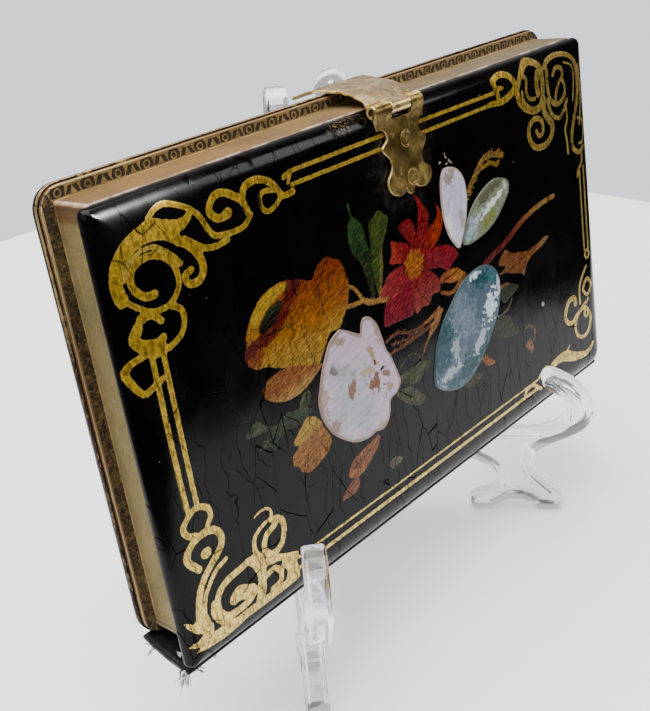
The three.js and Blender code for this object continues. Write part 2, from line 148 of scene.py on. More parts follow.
# Points are given in the case's own millimetres, X along the case, Y from front to back and Z up
# the face, and are put in their place as the mesh is made.
def to_case(points):
    return [case_place @ Vector((x / 1000, y / 1000, z / 1000)) for x, y, z in points]


def new_piece(name, points, faces, material, body, node, smooth=True, placed=False):
    mesh = bpy.data.meshes.new(name)
    mesh.from_pydata(points if placed else to_case(points), [], faces)
    mesh.validate()
    turn_outwards(mesh)
    for polygon in mesh.polygons:
        polygon.use_smooth = smooth
    mesh.materials.append(material)
    note_place(mesh)
    piece = link(bpy.data.objects.new(name, mesh))
    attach(piece, body)
    if node:
        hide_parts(node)
    return piece


def turn_outwards(mesh):
    form = bmesh.new()
    form.from_mesh(mesh)
    bmesh.ops.recalc_face_normals(form, faces=form.faces)
    form.to_mesh(mesh)
    form.free()


def ring_faces(rings, count, close_first=True, close_last=True):
    faces = []
    for r in range(rings - 1):
        for k in range(count):
            after = (k + 1) % count
            faces.append((r * count + k, r * count + after, (r + 1) * count + after, (r + 1) * count + k))
    if close_first:
        faces.append(tuple(range(count)))
    if close_last:
        faces.append(tuple((rings - 1) * count + k for k in range(count)))
    return faces


def skin(rings, close_first=True, close_last=True):
    """The points and faces of a solid that passes through rings of points."""
    faces = ring_faces(len(rings), len(rings[0]), close_first, close_last)
    return [point for ring in rings for point in ring], faces


# Materials are built from nodes that read each point's place in the case's millimetres.
class Value:
    """What a node of a material gives. Sums of values become nodes as they are written."""

    def __init__(self, shader, socket):
        self.shader, self.socket = shader, socket

    def __add__(self, other):
        return self.shader.math("ADD", self, other)

    def __radd__(self, other):
        return self.shader.math("ADD", other, self)

    def __sub__(self, other):
        return self.shader.math("SUBTRACT", self, other)

    def __rsub__(self, other):
        return self.shader.math("SUBTRACT", other, self)

    def __mul__(self, other):
        return self.shader.math("MULTIPLY", self, other)

    def __truediv__(self, other):
        return self.shader.math("DIVIDE", self, other)

    def __abs__(self):
        return self.shader.math("ABSOLUTE", self)


class Shader:
    """One material with short ways of adding and joining its nodes."""

    def __init__(self, name, roughness=0.5, metallic=0.0):
        self.material = bpy.data.materials.new(name)
        self.material.use_nodes = True
        self.tree = self.material.node_tree
        self.surface = self.tree.nodes["Principled BSDF"]
        self.set("Roughness", roughness)
        self.set("Metallic", metallic)
        self.place = self.attribute("place_mm", "Vector")

    def wire(self, socket, value):
        if isinstance(value, Value):
            self.tree.links.new(value.socket, socket)
        elif hasattr(socket.default_value, "__len__") and isinstance(value, (tuple, list)):
            size = len(socket.default_value)
            socket.default_value = tuple(value) + (1,) * (size - len(value))
        else:
            socket.default_value = value

    def add(self, kind, inputs, output=0, **settings):
        node = self.tree.nodes.new(kind)
        for name, value in settings.items():
            setattr(node, name, value)
        for name, value in inputs.items():
            self.wire(node.inputs[name], value)
        return Value(self, node.outputs[output])

    def set(self, name, value):
        self.wire(self.surface.inputs[name], value)

    def attribute(self, name, output="Fac"):
        return self.add("ShaderNodeAttribute", {}, output, attribute_name=name, attribute_type="GEOMETRY")

    def math(self, kind, a, b=0.0, c=0.0, clamp=False):
        return self.add("ShaderNodeMath", {0: a, 1: b, 2: c}, operation=kind, use_clamp=clamp)

    def most(self, a, b):
        return self.add("ShaderNodeMath", {0: a, 1: b}, operation="MAXIMUM")

    def least(self, a, b):
        return self.add("ShaderNodeMath", {0: a, 1: b}, operation="MINIMUM")

    def ramp(self, value, low, high, to_low=0.0, to_high=1.0):
        """A smooth step from low to high; low may be the larger of the two."""
        if low > high:
            low, high, to_low, to_high = high, low, to_high, to_low
        return self.add("ShaderNodeMapRange", {"Value": value, "From Min": low, "From Max": high,
            "To Min": to_low, "To Max": to_high}, interpolation_type="SMOOTHSTEP")

    def mix(self, share, a, b, kind="MIX"):
        node = self.tree.nodes.new("ShaderNodeMix")
        node.data_type, node.blend_type = "RGBA", kind
        for socket, value in ((node.inputs[0], share), (node.inputs[6], a), (node.inputs[7], b)):
            self.wire(socket, value)
        return Value(self, node.outputs[2])

    def tint(self, color, by):
        return self.mix(1.0, color, by, "MULTIPLY")

    def turned(self, angle):
        """The place turned in the plane of the face."""
        return self.add("ShaderNodeVectorRotate", {"Vector": self.place, "Angle": angle, "Axis": (0, 1, 0)},
            rotation_type="AXIS_ANGLE")

    def stretched(self, x, y, z, place=None):
        return self.add("ShaderNodeVectorMath", {0: place or self.place, 1: (x, y, z)}, operation="MULTIPLY")

    def split(self):
        node = self.tree.nodes.new("ShaderNodeSeparateXYZ")
        self.wire(node.inputs[0], self.place)
        return [Value(self, output) for output in node.outputs]

    def noise(self, scale, detail=3.0, rough=0.55, place=None, output=0):
        return self.add("ShaderNodeTexNoise", {"Vector": place or self.place, "Scale": scale, "Detail": detail,
            "Roughness": rough}, output)

    def cells(self, scale, place=None, feature="F1"):
        return self.add("ShaderNodeTexVoronoi", {"Vector": place or self.place, "Scale": scale}, feature=feature)

    def patch(self, x, z, wide, high, turn=0.0, soft=0.35, ragged=1.3, grain=0.6):
        """How much a point lies in an oval patch of the face with a soft, ragged edge."""
        c, s = math.cos(turn), math.sin(turn)
        px, _, pz = self.split()
        dx, dz = px - x, pz - z
        u = self.math("MULTIPLY_ADD", dx, c / wide, dz * (s / wide))
        v = self.math("MULTIPLY_ADD", dx, -s / high, dz * (c / high))
        out = self.math("SQRT", u * u + v * v)
        out = out + (self.noise(grain, 4) - 0.5) * (ragged * 2)
        return self.ramp(out, 1 + soft / 2, 1 - soft / 2)

    def veins(self, across, up, warp, scale):
        """Nearness to long wavering hairlines, the level lines of a warped slope."""
        px, _, pz = self.split()
        slope = self.math("MULTIPLY_ADD", px, across, pz * up)
        slope = self.math("MULTIPLY_ADD", self.noise(scale, 3, 0.55), warp, slope)
        return abs(self.math("FRACT", slope) - 0.5)

    def bump(self, height, strength, distance, normal=None):
        inputs = {"Height": height, "Strength": strength, "Distance": distance}
        if normal is not None:
            inputs["Normal"] = normal
        return self.add("ShaderNodeBump", inputs)


def note_place(mesh):
    """Keeps each point's place in the case's millimetres, which the materials read."""
    back = case_place.inverted()
    values = np.empty(len(mesh.vertices) * 3, np.float32)
    mesh.vertices.foreach_get("co", values)
    matrix = np.array(back)
    local = (values.reshape(-1, 3) @ matrix[:3, :3].T + matrix[:3, 3]) * 1000
    attribute = mesh.attributes.new("place_mm", "FLOAT_VECTOR", "POINT")
    attribute.data.foreach_set("vector", local.astype(np.float32).ravel())


BOARD_WIDTH, BOARD_HEIGHT = 114, 66.5
BOARD_RISE = 2.1
FRONT_CORNER = 1.1
BUMPED_CORNER = 3.4
BACK_CORNER = 3.4
SHOULDER = 4
RIM_TO_TRAY = 0.2
FACE_STEP = 0.3
SHOULDER_STEPS = (0, 0.02, 0.07, 0.16, 0.28, 0.44, 0.64, 0.9)


def side_offsets(length, step):
    """Places along one side: close together at both ends, where the shoulder turns steeply."""
    start = np.array(SHOULDER_STEPS)
    inner = np.arange(start[-1] + step, length / 2, step)
    half = np.concatenate([start, inner])
    return np.concatenate([half - length / 2, [0], (length / 2 - half)[::-1]])


def rounded_corners(x, z, width, height, radius):
    """Draws the corners of a rectangular grid of points in to a rounded outline."""
    out_x, out_z = np.abs(x) - (width / 2 - radius), np.abs(z) - (height / 2 - radius)
    corner = (out_x > 0) & (out_z > 0)
    a, b = np.where(corner, out_x / radius, 0), np.where(corner, out_z / radius, 0)
    in_x = radius * a * np.sqrt(1 - b * b / 2)
    in_z = radius * b * np.sqrt(1 - a * a / 2)
    x = np.where(corner, np.sign(x) * (width / 2 - radius + in_x), x)
    z = np.where(corner, np.sign(z) * (height / 2 - radius + in_z), z)
    return x, z


def inset_from_rim(x, z, width, height, radius):
    out_x, out_z = np.abs(x) - (width / 2 - radius), np.abs(z) - (height / 2 - radius)
    outside = np.hypot(np.maximum(out_x, 0), np.maximum(out_z, 0))
    return radius - outside - np.minimum(np.maximum(out_x, out_z), 0)


def board_grid(step, radius):
    xs, zs = side_offsets(BOARD_WIDTH, step), side_offsets(BOARD_HEIGHT, step)
    x, z = np.meshgrid(xs, zs, indexing="ij")
    radius = np.where((x > 0) & (z < 0), max(radius, BUMPED_CORNER), radius)
    x, z = rounded_corners(x, z, BOARD_WIDTH, BOARD_HEIGHT, radius)
    inset = np.clip(inset_from_rim(x, z, BOARD_WIDTH, BOARD_HEIGHT, radius), 0, SHOULDER)
    rise = BOARD_RISE * np.sqrt(1 - (1 - inset / SHOULDER) ** 2)
    return x, z, rise


def board_piece(name, step, facing, rim, edge, shift, radius, material, body):
    """A board whose rim is at the depth rim, with its shoulder and face on the facing side."""
    x, z, rise = board_grid(step, radius)
    across, up = x.shape
    y = rim + facing * rise
    face_points = np.stack([x + shift[0], y, z + shift[1]], -1).reshape(-1, 3)
    index = np.arange(across * up).reshape(across, up)
    quads = np.stack([index[:-1, :-1], index[1:, :-1], index[1:, 1:], index[:-1, 1:]], -1).reshape(-1, 4)
    rim_loop = np.concatenate([index[:, 0], index[-1, 1:], index[-2::-1, -1], index[0, -2:0:-1]])
    back = face_points[rim_loop].copy()
    back[:, 1] = rim - facing * edge
    count = len(rim_loop)
    first = len(face_points)
    walls = [
        (int(rim_loop[k]), int(rim_loop[(k + 1) % count]), first + (k + 1) % count, first + k)
        for k in range(count)
    ]
    faces = quads.tolist() + walls + [tuple(range(first, first + count))]
    points = np.concatenate([face_points, back]).tolist()
    piece = new_piece(name, points, faces, material, body, None)
    piece.data.polygons[len(piece.data.polygons) - 1].use_smooth = False
    return piece, x, z


def lacquer_material(name, painted, gilt_edge=None):
    """Black lacquer, crazed and rubbed, with the gilding and the painting under its varnish."""
    m = Shader(name, 0.2)
    x, y, z = m.split()
    color = m.mix(m.ramp(m.noise(0.09, 4), 0.45, 0.8), (0.0016, 0.0015, 0.0017), (0.004, 0.0032, 0.0028))
    waver = m.add("ShaderNodeVectorMath", {0: m.noise(0.22, 3, 0.5, output=1), 1: (0.8, 0.5, 0.8)},
        operation="MULTIPLY")
    lines = m.cells(0.17, m.add("ShaderNodeVectorMath", {0: m.stretched(1.4, 0.2, 0.5), 1: waver},
        operation="ADD"), "DISTANCE_TO_EDGE")
    crack = m.ramp(lines, 0.0135, 0.004) * m.ramp(m.noise(0.07, 3), 0.4, 0.54)
    low = m.ramp(z, 6, -8) * m.ramp(m.noise(0.13, 3), 0.38, 0.5)
    if painted:
        low = m.most(low, m.ramp(m.attribute("gilt"), 0, 0.1) * m.ramp(m.noise(0.3, 2), 0.44, 0.5))
    upright = m.ramp(m.veins(0.3, 0.02, 2.2, 0.12), 0.034, 0.012) * m.most(low, m.ramp(m.noise(0.09, 3), 0.5, 0.6))
    level = m.ramp(m.veins(0.03, 0.13, 3.2, 0.1), 0.016, 0.006) * m.ramp(m.noise(0.14, 3), 0.5, 0.58)
    hair = m.most(upright, level)
    roughness = m.ramp(m.noise(0.14, 5, 0.6), 0.3, 0.75, 0.09, 0.2)
    normal = m.bump(m.noise(0.045, 2), 0.35, 0.0006)
    if painted:
        wear = m.ramp(m.noise(0.5, 5, 0.62), 0.6, 0.74)
        edge = (m.noise(2.1, 4, 0.7) - 0.5) * 0.3
        gilt_depth = m.attribute("gilt") + edge
        gilt = m.math("SUBTRACT", m.ramp(gilt_depth, -0.06, 0.05), wear * 0.75, clamp=True)
        gold = m.mix(m.ramp(z + x * -0.2, -20, 22), (0.72, 0.54, 0.16), (0.44, 0.29, 0.02))
        gold = m.mix(m.ramp(x, 22, 46) * m.ramp(z, -24, 4, 0.3, 1.0), gold, (0.27, 0.19, 0.05))
        leaf = m.noise(1.0, 5, 0.65, m.stretched(1.6, 1, 0.7))
        gold = m.mix(m.ramp(leaf, 0.42, 0.64, 0.0, 0.8), gold, m.tint(gold, (0.26, 0.2, 0.12)))
        gold = m.mix(m.ramp(m.noise(2.6, 4, 0.7), 0.48, 0.64, 0.0, 0.9), gold, m.tint(gold, (2.0, 1.85, 1.5)))
        # A painted highlight: a bright line just inside the edge of each gilt stroke.
        gold = m.mix(m.ramp(abs(gilt_depth - 0.1), 0.08, 0.02, 0.0, 0.35), gold, (0.62, 0.47, 0.14))
        paint_depth = m.attribute("paint") + (m.noise(1.9, 4) - 0.5) * 0.5
        paint = m.ramp(paint_depth, -0.08, 0.06)
        tilted = m.turned(0.45)
        brush = m.noise(1.0, 5, 0.65, m.stretched(0.55, 1, 2.8, tilted))
        tone = m.tint(m.attribute("paint_color", "Color"), (0.52, 0.41, 0.36))
        tone = m.mix(m.ramp(brush, 0.38, 0.66, 0.0, 0.75), tone, m.tint(tone, (0.24, 0.15, 0.1)))
        glint = m.ramp(m.noise(1.5, 4, 0.7, m.stretched(0.3, 1, 4.4, tilted)), 0.56, 0.64) * 0.85
        tone = m.mix(glint, tone, m.mix(1.0, m.mix(0.12, tone, (0.34, 0.22, 0.03)), (2.8, 2.5, 1.9), "MULTIPLY"))
        tone = m.mix(m.ramp(m.noise(2.6, 3), 0.6, 0.68, 0.0, 0.9), tone, (0.008, 0.006, 0.006))
        color = m.mix(paint, color, tone)
        color = m.mix(m.ramp(m.attribute("line"), -0.05, 0.04, 0.0, 0.85), color, (0.045, 0.006, 0.008))
        color = m.mix(gilt, color, gold)
        m.set("Metallic", gilt * 0.35)
        rise = gilt * 0.6 + paint * (brush + 0.2)
        normal = m.bump(rise, 0.25, 0.00006, normal)
        halo = m.patch(0.2, 26, 7.4, 9.6, 0, 0.3, 0.6) * m.ramp(m.noise(1.2, 4), 0.4, 0.6, 0.15, 0.7)
        color = m.mix(halo * (1.0 - gilt), color, (0.022, 0.02, 0.016))
        scuff = m.patch(-11.6, 32.4, 2.6, 1.0, 0.1, 0.8, 0.8) * m.ramp(m.noise(2.4, 4, 0.7), 0.5, 0.62)
        color = m.mix(scuff, color, (0.20, 0.14, 0.055))
        dots = m.ramp(m.cells(0.32), 0.035, 0.015)
        color = m.mix(dots * m.ramp(m.noise(0.2, 3), 0.55, 0.62), color, (0.42, 0.42, 0.42))
        roughness = roughness + m.patch(-48, 31, 9, 4, 0, 0.6, 0.3) * 0.12
        covered = m.most(gilt, paint)
        roughness = roughness + covered * 0.12
    if gilt_edge is not None:
        edge = m.ramp(y + m.noise(0.7, 3) * 0.16, gilt_edge, gilt_edge - 0.08)
        groove = abs(m.math("FRACT", (gilt_edge - y) / 0.3) - 0.5)
        groove = m.ramp(groove, 0.26, 0.16) * m.ramp(m.noise(0.3, 3), 0.3, 0.42)
        rubbed = m.most(groove, m.ramp(m.noise(0.35, 5, 0.62), 0.6, 0.72))
        gold = m.mix(m.ramp(m.noise(0.9, 4), 0.35, 0.7), (0.60, 0.43, 0.19), (0.26, 0.16, 0.06))
        worn = m.most(m.ramp(x + m.noise(0.2, 4) * 30, 30, 44), m.ramp(x, -54, -56) * m.ramp(z, 24, 12))
        worn = worn * m.ramp(m.noise(0.8, 4, 0.65), 0.62, 0.5, 0.35, 1.0)
        color = m.mix(edge, color, m.mix(m.most(rubbed, worn), gold, (0.035, 0.018, 0.01)))
        roughness = roughness + edge * 0.2
    crack = m.most(crack, hair * 0.8)
    color = m.mix(crack * 0.85, color, (0.002, 0.001, 0.001))
    normal = m.bump(crack * -1.0, 0.15, 0.00004, normal)
    m.set("Base Color", color)
    m.set("Specular IOR Level", 0.12 - crack * 0.115)
    m.set("Roughness", roughness)
    m.set("Normal", normal)
    return m.material


painted_lacquer = lacquer_material("painted_lacquer", True)
front_board, face_x, face_z = board_piece(
    "lacquered_front", FACE_STEP, -1, 0, RIM_TO_TRAY, (0, 0), FRONT_CORNER, painted_lacquer, "cover")
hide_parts("front_board")
corner_lit.objects.link(front_board)


# Paint on the front board: gilt scrolls in the corners, double gilt lines between them, and a
# spray of flowers and leaves round the shells. Every stroke is a curve in the face's millimetres;
# the mesh carries how deep each point lies inside a stroke, and the material draws the edge.
FIELD_REACH = 0.7


def smooth_line(points, closed=False, step=0.35):
    """A smooth run of points through the given ones."""
    p = np.array(points, float)
    count = len(p)
    runs = []
    for k in range(count if closed else count - 1):
        a, b = p[k], p[(k + 1) % count]
        before = p[k - 1] if (closed or k > 0) else a - (b - a)
        after = p[(k + 2) % count] if (closed or k + 2 < count) else b + (b - a)
        pieces = max(1, int(np.hypot(*(b - a)[:2]) / step))
        t = (np.arange(pieces) / pieces)[:, None]
        runs.append(0.5 * (2 * a + (b - before) * t + (2 * before - 5 * a + 4 * b - after) * t ** 2
            + (3 * a - before - 3 * b + after) * t ** 3))
    runs.append(p[:1] if closed else p[-1:])
    return np.concatenate(runs)


class Canvas:
    """The face's points, with how deep each lies inside the strokes of each layer."""

    def __init__(self, x, z):
        self.x, self.z = x.ravel(), z.ravel()
        self.fields = {}
        self.color = np.zeros((self.x.size, 3))
        self.best = np.full(self.x.size, -FIELD_REACH)

    def near(self, line, reach):
        low, high = line[:, :2].min(0) - reach, line[:, :2].max(0) + reach
        return np.nonzero((self.x > low[0]) & (self.x < high[0]) & (self.z > low[1]) & (self.z < high[1]))[0]

    def distance(self, spots, line):
        x, z = self.x[spots][:, None], self.z[spots][:, None]
        a, b = line[:-1], line[1:]
        way = b[:, :2] - a[:, :2]
        size = np.maximum((way ** 2).sum(1), 1e-12)
        share = np.clip(((x - a[:, 0]) * way[:, 0] + (z - a[:, 1]) * way[:, 1]) / size, 0, 1)
        away = np.hypot(x - a[:, 0] - share * way[:, 0], z - a[:, 1] - share * way[:, 1])
        return away, share

    def stroke(self, layer, points, start, end=None, color=None):
        """A line of paint whose width runs from start to end."""
        end = start if end is None else end
        line = smooth_line(points)
        half = np.linspace(start, end, len(line)) / 2
        spots = self.near(line, FIELD_REACH + max(start, end))
        if spots.size == 0:
            return
        away, share = self.distance(spots, line)
        deep = half[:-1] + share * (half[1:] - half[:-1]) - away
        self.lay(layer, spots, deep.max(1), color)

    def shape(self, layer, points, color=None):
        """A closed area of paint."""
        line = smooth_line(points, True)
        spots = self.near(line, FIELD_REACH)
        away = self.distance(spots, line)[0].min(1)
        x, z = self.x[spots][:, None], self.z[spots][:, None]
        a, b = line[:-1], line[1:]
        crosses = ((a[:, 1] > z) != (b[:, 1] > z))
        rise = np.where(np.abs(b[:, 1] - a[:, 1]) < 1e-12, 1e-12, b[:, 1] - a[:, 1])
        left = x < a[:, 0] + (z - a[:, 1]) * (b[:, 0] - a[:, 0]) / rise
        inside = ((crosses & left).sum(1) % 2) == 1
        self.lay(layer, spots, np.where(inside, away, -away), color)

    def lay(self, layer, spots, deep, color):
        field = self.fields.setdefault(layer, np.full(self.x.size, -FIELD_REACH))
        if color is not None:
            tone = color(self.x[spots], self.z[spots]) if callable(color) else np.array(color) / 255
            on_top = (deep > -0.1) | (deep > field[spots])
            self.color[spots[on_top]] = np.broadcast_to(tone, (spots.size, 3))[on_top]
        field[spots] = np.maximum(field[spots], np.clip(deep, -FIELD_REACH, FIELD_REACH * 3))


def fade(low, high, value):
    share = np.clip((value - low) / (high - low), 0, 1)
    return (share * share * (3 - 2 * share))[:, None]


def blend_tones(first, second, share):
    return np.array(first) / 255 * (1 - share) + np.array(second) / 255 * share


canvas = Canvas(face_x, face_z)

# The gilt border. Each row is a width at the start, a width at the end and the points.
GILT_STROKES = (
    (0.6, 0.6, (-24, 29.2), (0, 29.25), (26, 29.2)),
    (0.6, 0.6, (-24, 27.3), (0, 27.35), (26, 27.4)),
    (0.85, 0.85, (-52.6, 13), (-52.65, 0), (-52.5, -9.7)),
    (0.8, 0.8, (-50.8, 13), (-50.85, 0), (-50.8, -9.7)),
    (0.35, 0.35, (-36, -27.1), (0, -27.15), (32, -27.1)),
    (0.6, 0.6, (-36, -28.8), (0, -28.85), (32, -28.8)),
    (0.5, 0.5, (52.1, 8.6), (52, 0), (52, -7.5)),
    (0.6, 0.6, (53.6, 9.2), (53.5, 0), (53.5, -7.5)),
    # top left
    (0.75, 0.75, (-48.8, 29.9), (-47.6, 30.7), (-46, 31), (-44, 30.3), (-42.3, 29.3)),
    (1.1, 0.7, (-50.1, 20.6), (-51.6, 20.8), (-53, 22.2), (-53.1, 23.9), (-52, 25.1), (-50, 25.5), (-48.2, 25),
    (-46.8, 23.8),
        (-46.1, 22), (-46.3, 20.4), (-47.4, 19), (-49, 18.4), (-51, 18.6), (-53, 19.8), (-54.3, 21)),
    (0.4, 0.8, (-54, 23.6), (-53, 25.4), (-51, 26.4), (-49, 26.4), (-47.4, 25.4), (-46.2, 24.2), (-45.3, 23)),
    (1.3, 1.0, (-45, 25.9), (-43.4, 24.8), (-42.1, 22.8), (-42, 20.8), (-43.2, 19.8), (-44.7, 20.1),
    (-45, 21.2), (-43.9, 21.7)),
    (0.8, 0.8, (-42.3, 29.3), (-41, 28), (-40, 26), (-39, 24.7), (-37, 24.3), (-34, 24.3), (-32.3, 25.5)),
    (1.0, 0.8, (-44, 25.8), (-41.3, 23.8), (-39, 23.3), (-37, 23.5)),
    (1.1, 1.0, (-36.3, 26.8), (-38, 26.7), (-39.2, 28), (-38.3, 29.5), (-36.7, 29.8), (-35, 29), (-33.3, 27.5),
    (-32.7, 25.8)),
    (1.5, 1.3, (-36.2, 26.9), (-36.8, 26.7)),
    (1.1, 0.9, (-33.3, 28), (-32.7, 29.3), (-30.7, 29.8), (-28.3, 29), (-27, 27.7), (-26, 26.3), (-24, 26.3)),
    (0.7, 0.7, (-27.3, 27.5), (-29.7, 27.8), (-30.3, 26.3), (-29.3, 25), (-27.3, 25.5), (-26.3, 26.5)),
    (0.8, 0.5, (-25.3, 28.7), (-24, 29), (-24.7, 27.7)),
    (0.9, 0.8, (-48, 18.3), (-46.7, 17.3), (-46.5, 16), (-47.3, 14.3), (-49.3, 13.3), (-52, 13)),
    (1.3, 0.9, (-53, 18.3), (-51.3, 18.3), (-50, 17)),
    (1.5, 1.2, (-53.7, 17.3), (-54.5, 16), (-53.7, 14.8), (-51.7, 14.3), (-50.3, 14.8)),
    (0.9, 0.9, (-53.3, 13.7), (-55.3, 13.3), (-56.3, 12.3), (-56, 10.7), (-54.8, 8.8), (-53.3, 9.2), (-51.7, 9.7)),
    # bottom left
    (0.9, 0.9, (-50, -10), (-51.5, -9.7), (-53.7, -11.3), (-53.3, -12.8), (-52, -13.5)),
    (0.9, 0.8, (-50, -10), (-49.2, -10.7), (-49, -12), (-49.8, -13)),
    (1.1, 1.1, (-52.7, -18.5), (-54.2, -16.3), (-53.2, -14.5), (-51, -13.8), (-48.9, -14.3), (-48, -15.9),
    (-48.5, -17.3),
        (-50.3, -18.7), (-52, -20), (-53.3, -21.7), (-54, -24), (-54.2, -26), (-53.3, -28)),
    (1.6, 1.6, (-51.1, -16.8), (-50.9, -16.8)),
    (0.7, 0.7, (-48, -19.5), (-50, -20.2), (-51.3, -21.3), (-52.7, -23), (-53.3, -25.3), (-52.7, -27.7)),
    (0.5, 1.1, (-56, -25.7), (-54.7, -27.2), (-53, -28.3)),
    (0.8, 1.4, (-55.7, -29.3), (-53.7, -29.7), (-51, -30.2), (-47, -29.8)),
    (1.4, 1.3, (-47, -29.8), (-41, -29.9), (-36, -29.8)),
    (1.1, 1.1, (-44.7, -26.7), (-46.7, -25.3), (-48, -26)),
    (1.1, 1.1, (-41.7, -24.7), (-42.7, -23), (-44.3, -22.2), (-45.7, -22.4), (-48.7, -22.8), (-50.5, -24),
    (-51, -26), (-50, -27.8),
        (-48, -28.3), (-45.3, -28), (-44, -27)),
    (0.7, 0.7, (-51.7, -24.7), (-52, -26.3), (-50.8, -28.3), (-48.7, -29.3)),
    (0.3, 1.3, (-41.8, -16.4), (-40.6, -16.1), (-39.4, -16.2), (-38.6, -17), (-38.8, -18), (-40.3, -18.3),
    (-42.3, -19.3), (-42.8, -21.3), (-42, -23),
        (-41.8, -24.7), (-42.7, -27), (-43.7, -29.3)),
    (1.0, 1.0, (-38.8, -18.3), (-37, -19.3), (-36.8, -21.3), (-38, -23.3), (-40, -23.5), (-41, -22),
    (-40.3, -20.3), (-38.3, -19.5)),
    (1.2, 0.9, (-41, -24.3), (-39, -24.8), (-37, -25.7), (-35.3, -26.3)),
    (0.9, 0.9, (-41.7, -26.3), (-40, -26), (-38.8, -27.3), (-39.3, -28.7), (-41, -29)),
    # top right
    (1.0, 1.2, (26.2, 31.1), (28.3, 31.7), (30.5, 31.4), (32.2, 30.1), (32.7, 28.6)),
    (1.0, 1.0, (26.2, 31), (26.9, 29.6), (27.3, 28.2), (27.5, 27.2)),
    (0.8, 0.6, (26, 29.2), (27.6, 29.7), (28.8, 29.4)),
    (0.8, 1.5, (24, 27.5), (28.3, 27.3), (30.7, 27.8), (32.7, 28.5)),
    (1.3, 1.3, (33, 28), (34.3, 30), (36.3, 31.8), (38.3, 32.2), (40.7, 31), (41.3, 29), (41.3, 26.3), (40.3, 24),
        (38.3, 23.5), (35.7, 24.3), (33.7, 26), (33, 28)),
    (0.7, 0.7, (35.4, 30.2), (36.2, 29.4), (36, 27.4), (36.8, 25.9), (38.6, 25.5)),
    (1.3, 1.1, (39.9, 29.8), (39.4, 28), (39.7, 26)),
    (0.6, 0.6, (34.6, 27.6), (35, 25.8), (36.4, 24.6)),
    (0.9, 0.9, (42.3, 30.3), (44, 31.3), (47.3, 31.7), (50.7, 31), (52.7, 29.3), (53.3, 26.3), (53, 23),
    (52, 20.3), (51, 18.3)),
    (0.4, 0.4, (49, 30), (51.7, 28.7), (52, 25.7), (51.3, 22.3)),
    (0.9, 0.9, (43, 29.7), (43, 26.3), (43.7, 24.3), (45.3, 23), (47.3, 23.2), (48.7, 24.3)),
    (0.8, 0.7, (45, 28.4), (46, 29.5), (47.9, 29.1), (48.2, 27.6), (46.8, 26.6), (45.8, 25.2), (45.4, 23.8)),
    (0.7, 0.5, (48, 27.2), (48.8, 25.6), (48.5, 23.8)),
    (0.7, 0.6, (53.9, 28.6), (54.4, 25), (54, 21), (53.2, 17.6)),
    (0.8, 0.8, (42.7, 24.3), (43.7, 21.7), (46, 20.3), (48, 21.3), (49.3, 23)),
    (1.4, 0.8, (41.5, 24.7), (41.3, 22.7), (42.7, 20.7), (43.7, 19.7), (43.3, 18), (41.7, 16.8), (39.3, 16.5),
    (37, 17.3),
        (35.7, 19.3), (36.3, 21.3), (38.3, 22), (40.3, 21), (40.3, 19), (39, 18.7), (38.3, 19.7)),
    (0.6, 0.6, (48.7, 21.7), (49, 19.7), (48, 17.7), (48.3, 15.7), (48.5, 13)),
    (0.9, 0.9, (51, 18.3), (50.3, 16.3), (50.3, 13.7), (52.3, 12.3), (54, 13)),
    (0.5, 0.5, (52.6, 18.9), (54, 18.4), (54.6, 16.6), (54, 14.2), (52.6, 13.9)),
    (0.7, 0.6, (53.3, 11.7), (53, 10), (51.7, 9), (51.3, 7.7)),
    # bottom right
    (0.5, 0.5, (53.8, -8.5), (52.9, -7.6), (52, -8.5), (52.9, -9.4), (53.8, -8.5)),
    (0.6, 0.6, (52.2, -10.9), (49.8, -13.2), (49.1, -15.5), (49.1, -17.8)),
    (0.7, 0.7, (53.9, -15.2), (52.2, -13.5), (50.5, -15.2), (52.2, -16.9), (53.9, -15.2)),
    (1.2, 0.7, (47.3, -17.1), (47, -15.9), (45.2, -15.7), (43.9, -17.1), (43.3, -18.6), (44.3, -20.2),
    (46, -20.5), (47.5, -19.6),
        (49.5, -19), (52.2, -17.8)),
    (0.8, 0.8, (52.8, -22.1), (51.9, -20), (49.8, -19.1), (47.7, -20), (46.8, -22.1), (47.7, -24.2),
    (49.8, -25.1), (51.9, -24.2),
        (52.8, -22.1)),
    (0.5, 0.5, (52, -20.5), (51.2, -19.7), (50.4, -20.5), (51.2, -21.3), (52, -20.5)),
    (0.6, 0.9, (32.2, -27), (34.8, -25.9), (36.4, -26.7)),
    (1.2, 2.2, (36, -26.9), (38.7, -26.2), (41.4, -26.2), (43.3, -26.8)),
    (2.2, 0.8, (43.3, -26.8), (46, -28), (50.6, -29), (52.9, -27.8)),
    (0.6, 0.3, (42.6, -26), (44.1, -24.8)),
    (0.6, 0.6, (27.2, -28.2), (28.3, -27.5), (30.2, -27.5), (32.9, -29.4)),
)
for start, end, *points in GILT_STROKES:
    canvas.stroke("gilt", points, start, end)
canvas.shape("gilt", [(-48.9, -26.2), (-48, -25.1), (-46.6, -24.8), (-45.2, -25.5), (-43.9, -26.3),
    (-44.1, -27.9), (-45.6, -28.3), (-46.2, -27.4), (-47.4, -27), (-48.2, -27.2)])
canvas.shape("gilt", [(-44.8, -22.2), (-43.6, -21.7), (-42.4, -22.3), (-41.8, -24.5), (-41.9, -27.4),
    (-42.9, -29.6), (-44.1, -29.6), (-43.4, -27.4), (-43.2, -25.4), (-43.8, -23.6)])
canvas.shape("gilt", [(-56.6, -29.4), (-55.2, -28.9), (-54.2, -28.2), (-52.6, -28.8), (-50, -28.9),
    (-47.6, -29.4), (-47, -30.6), (-50.6, -31), (-53.6, -30.7), (-55.8, -30.5), (-55, -29.9)])
canvas.shape("gilt", [(-56.4, -25.4), (-55.4, -26), (-54.6, -25.4), (-54.2, -26.6), (-53.2, -26.2),
    (-52.8, -27.9), (-54.4, -27.9), (-55.6, -27.1)])
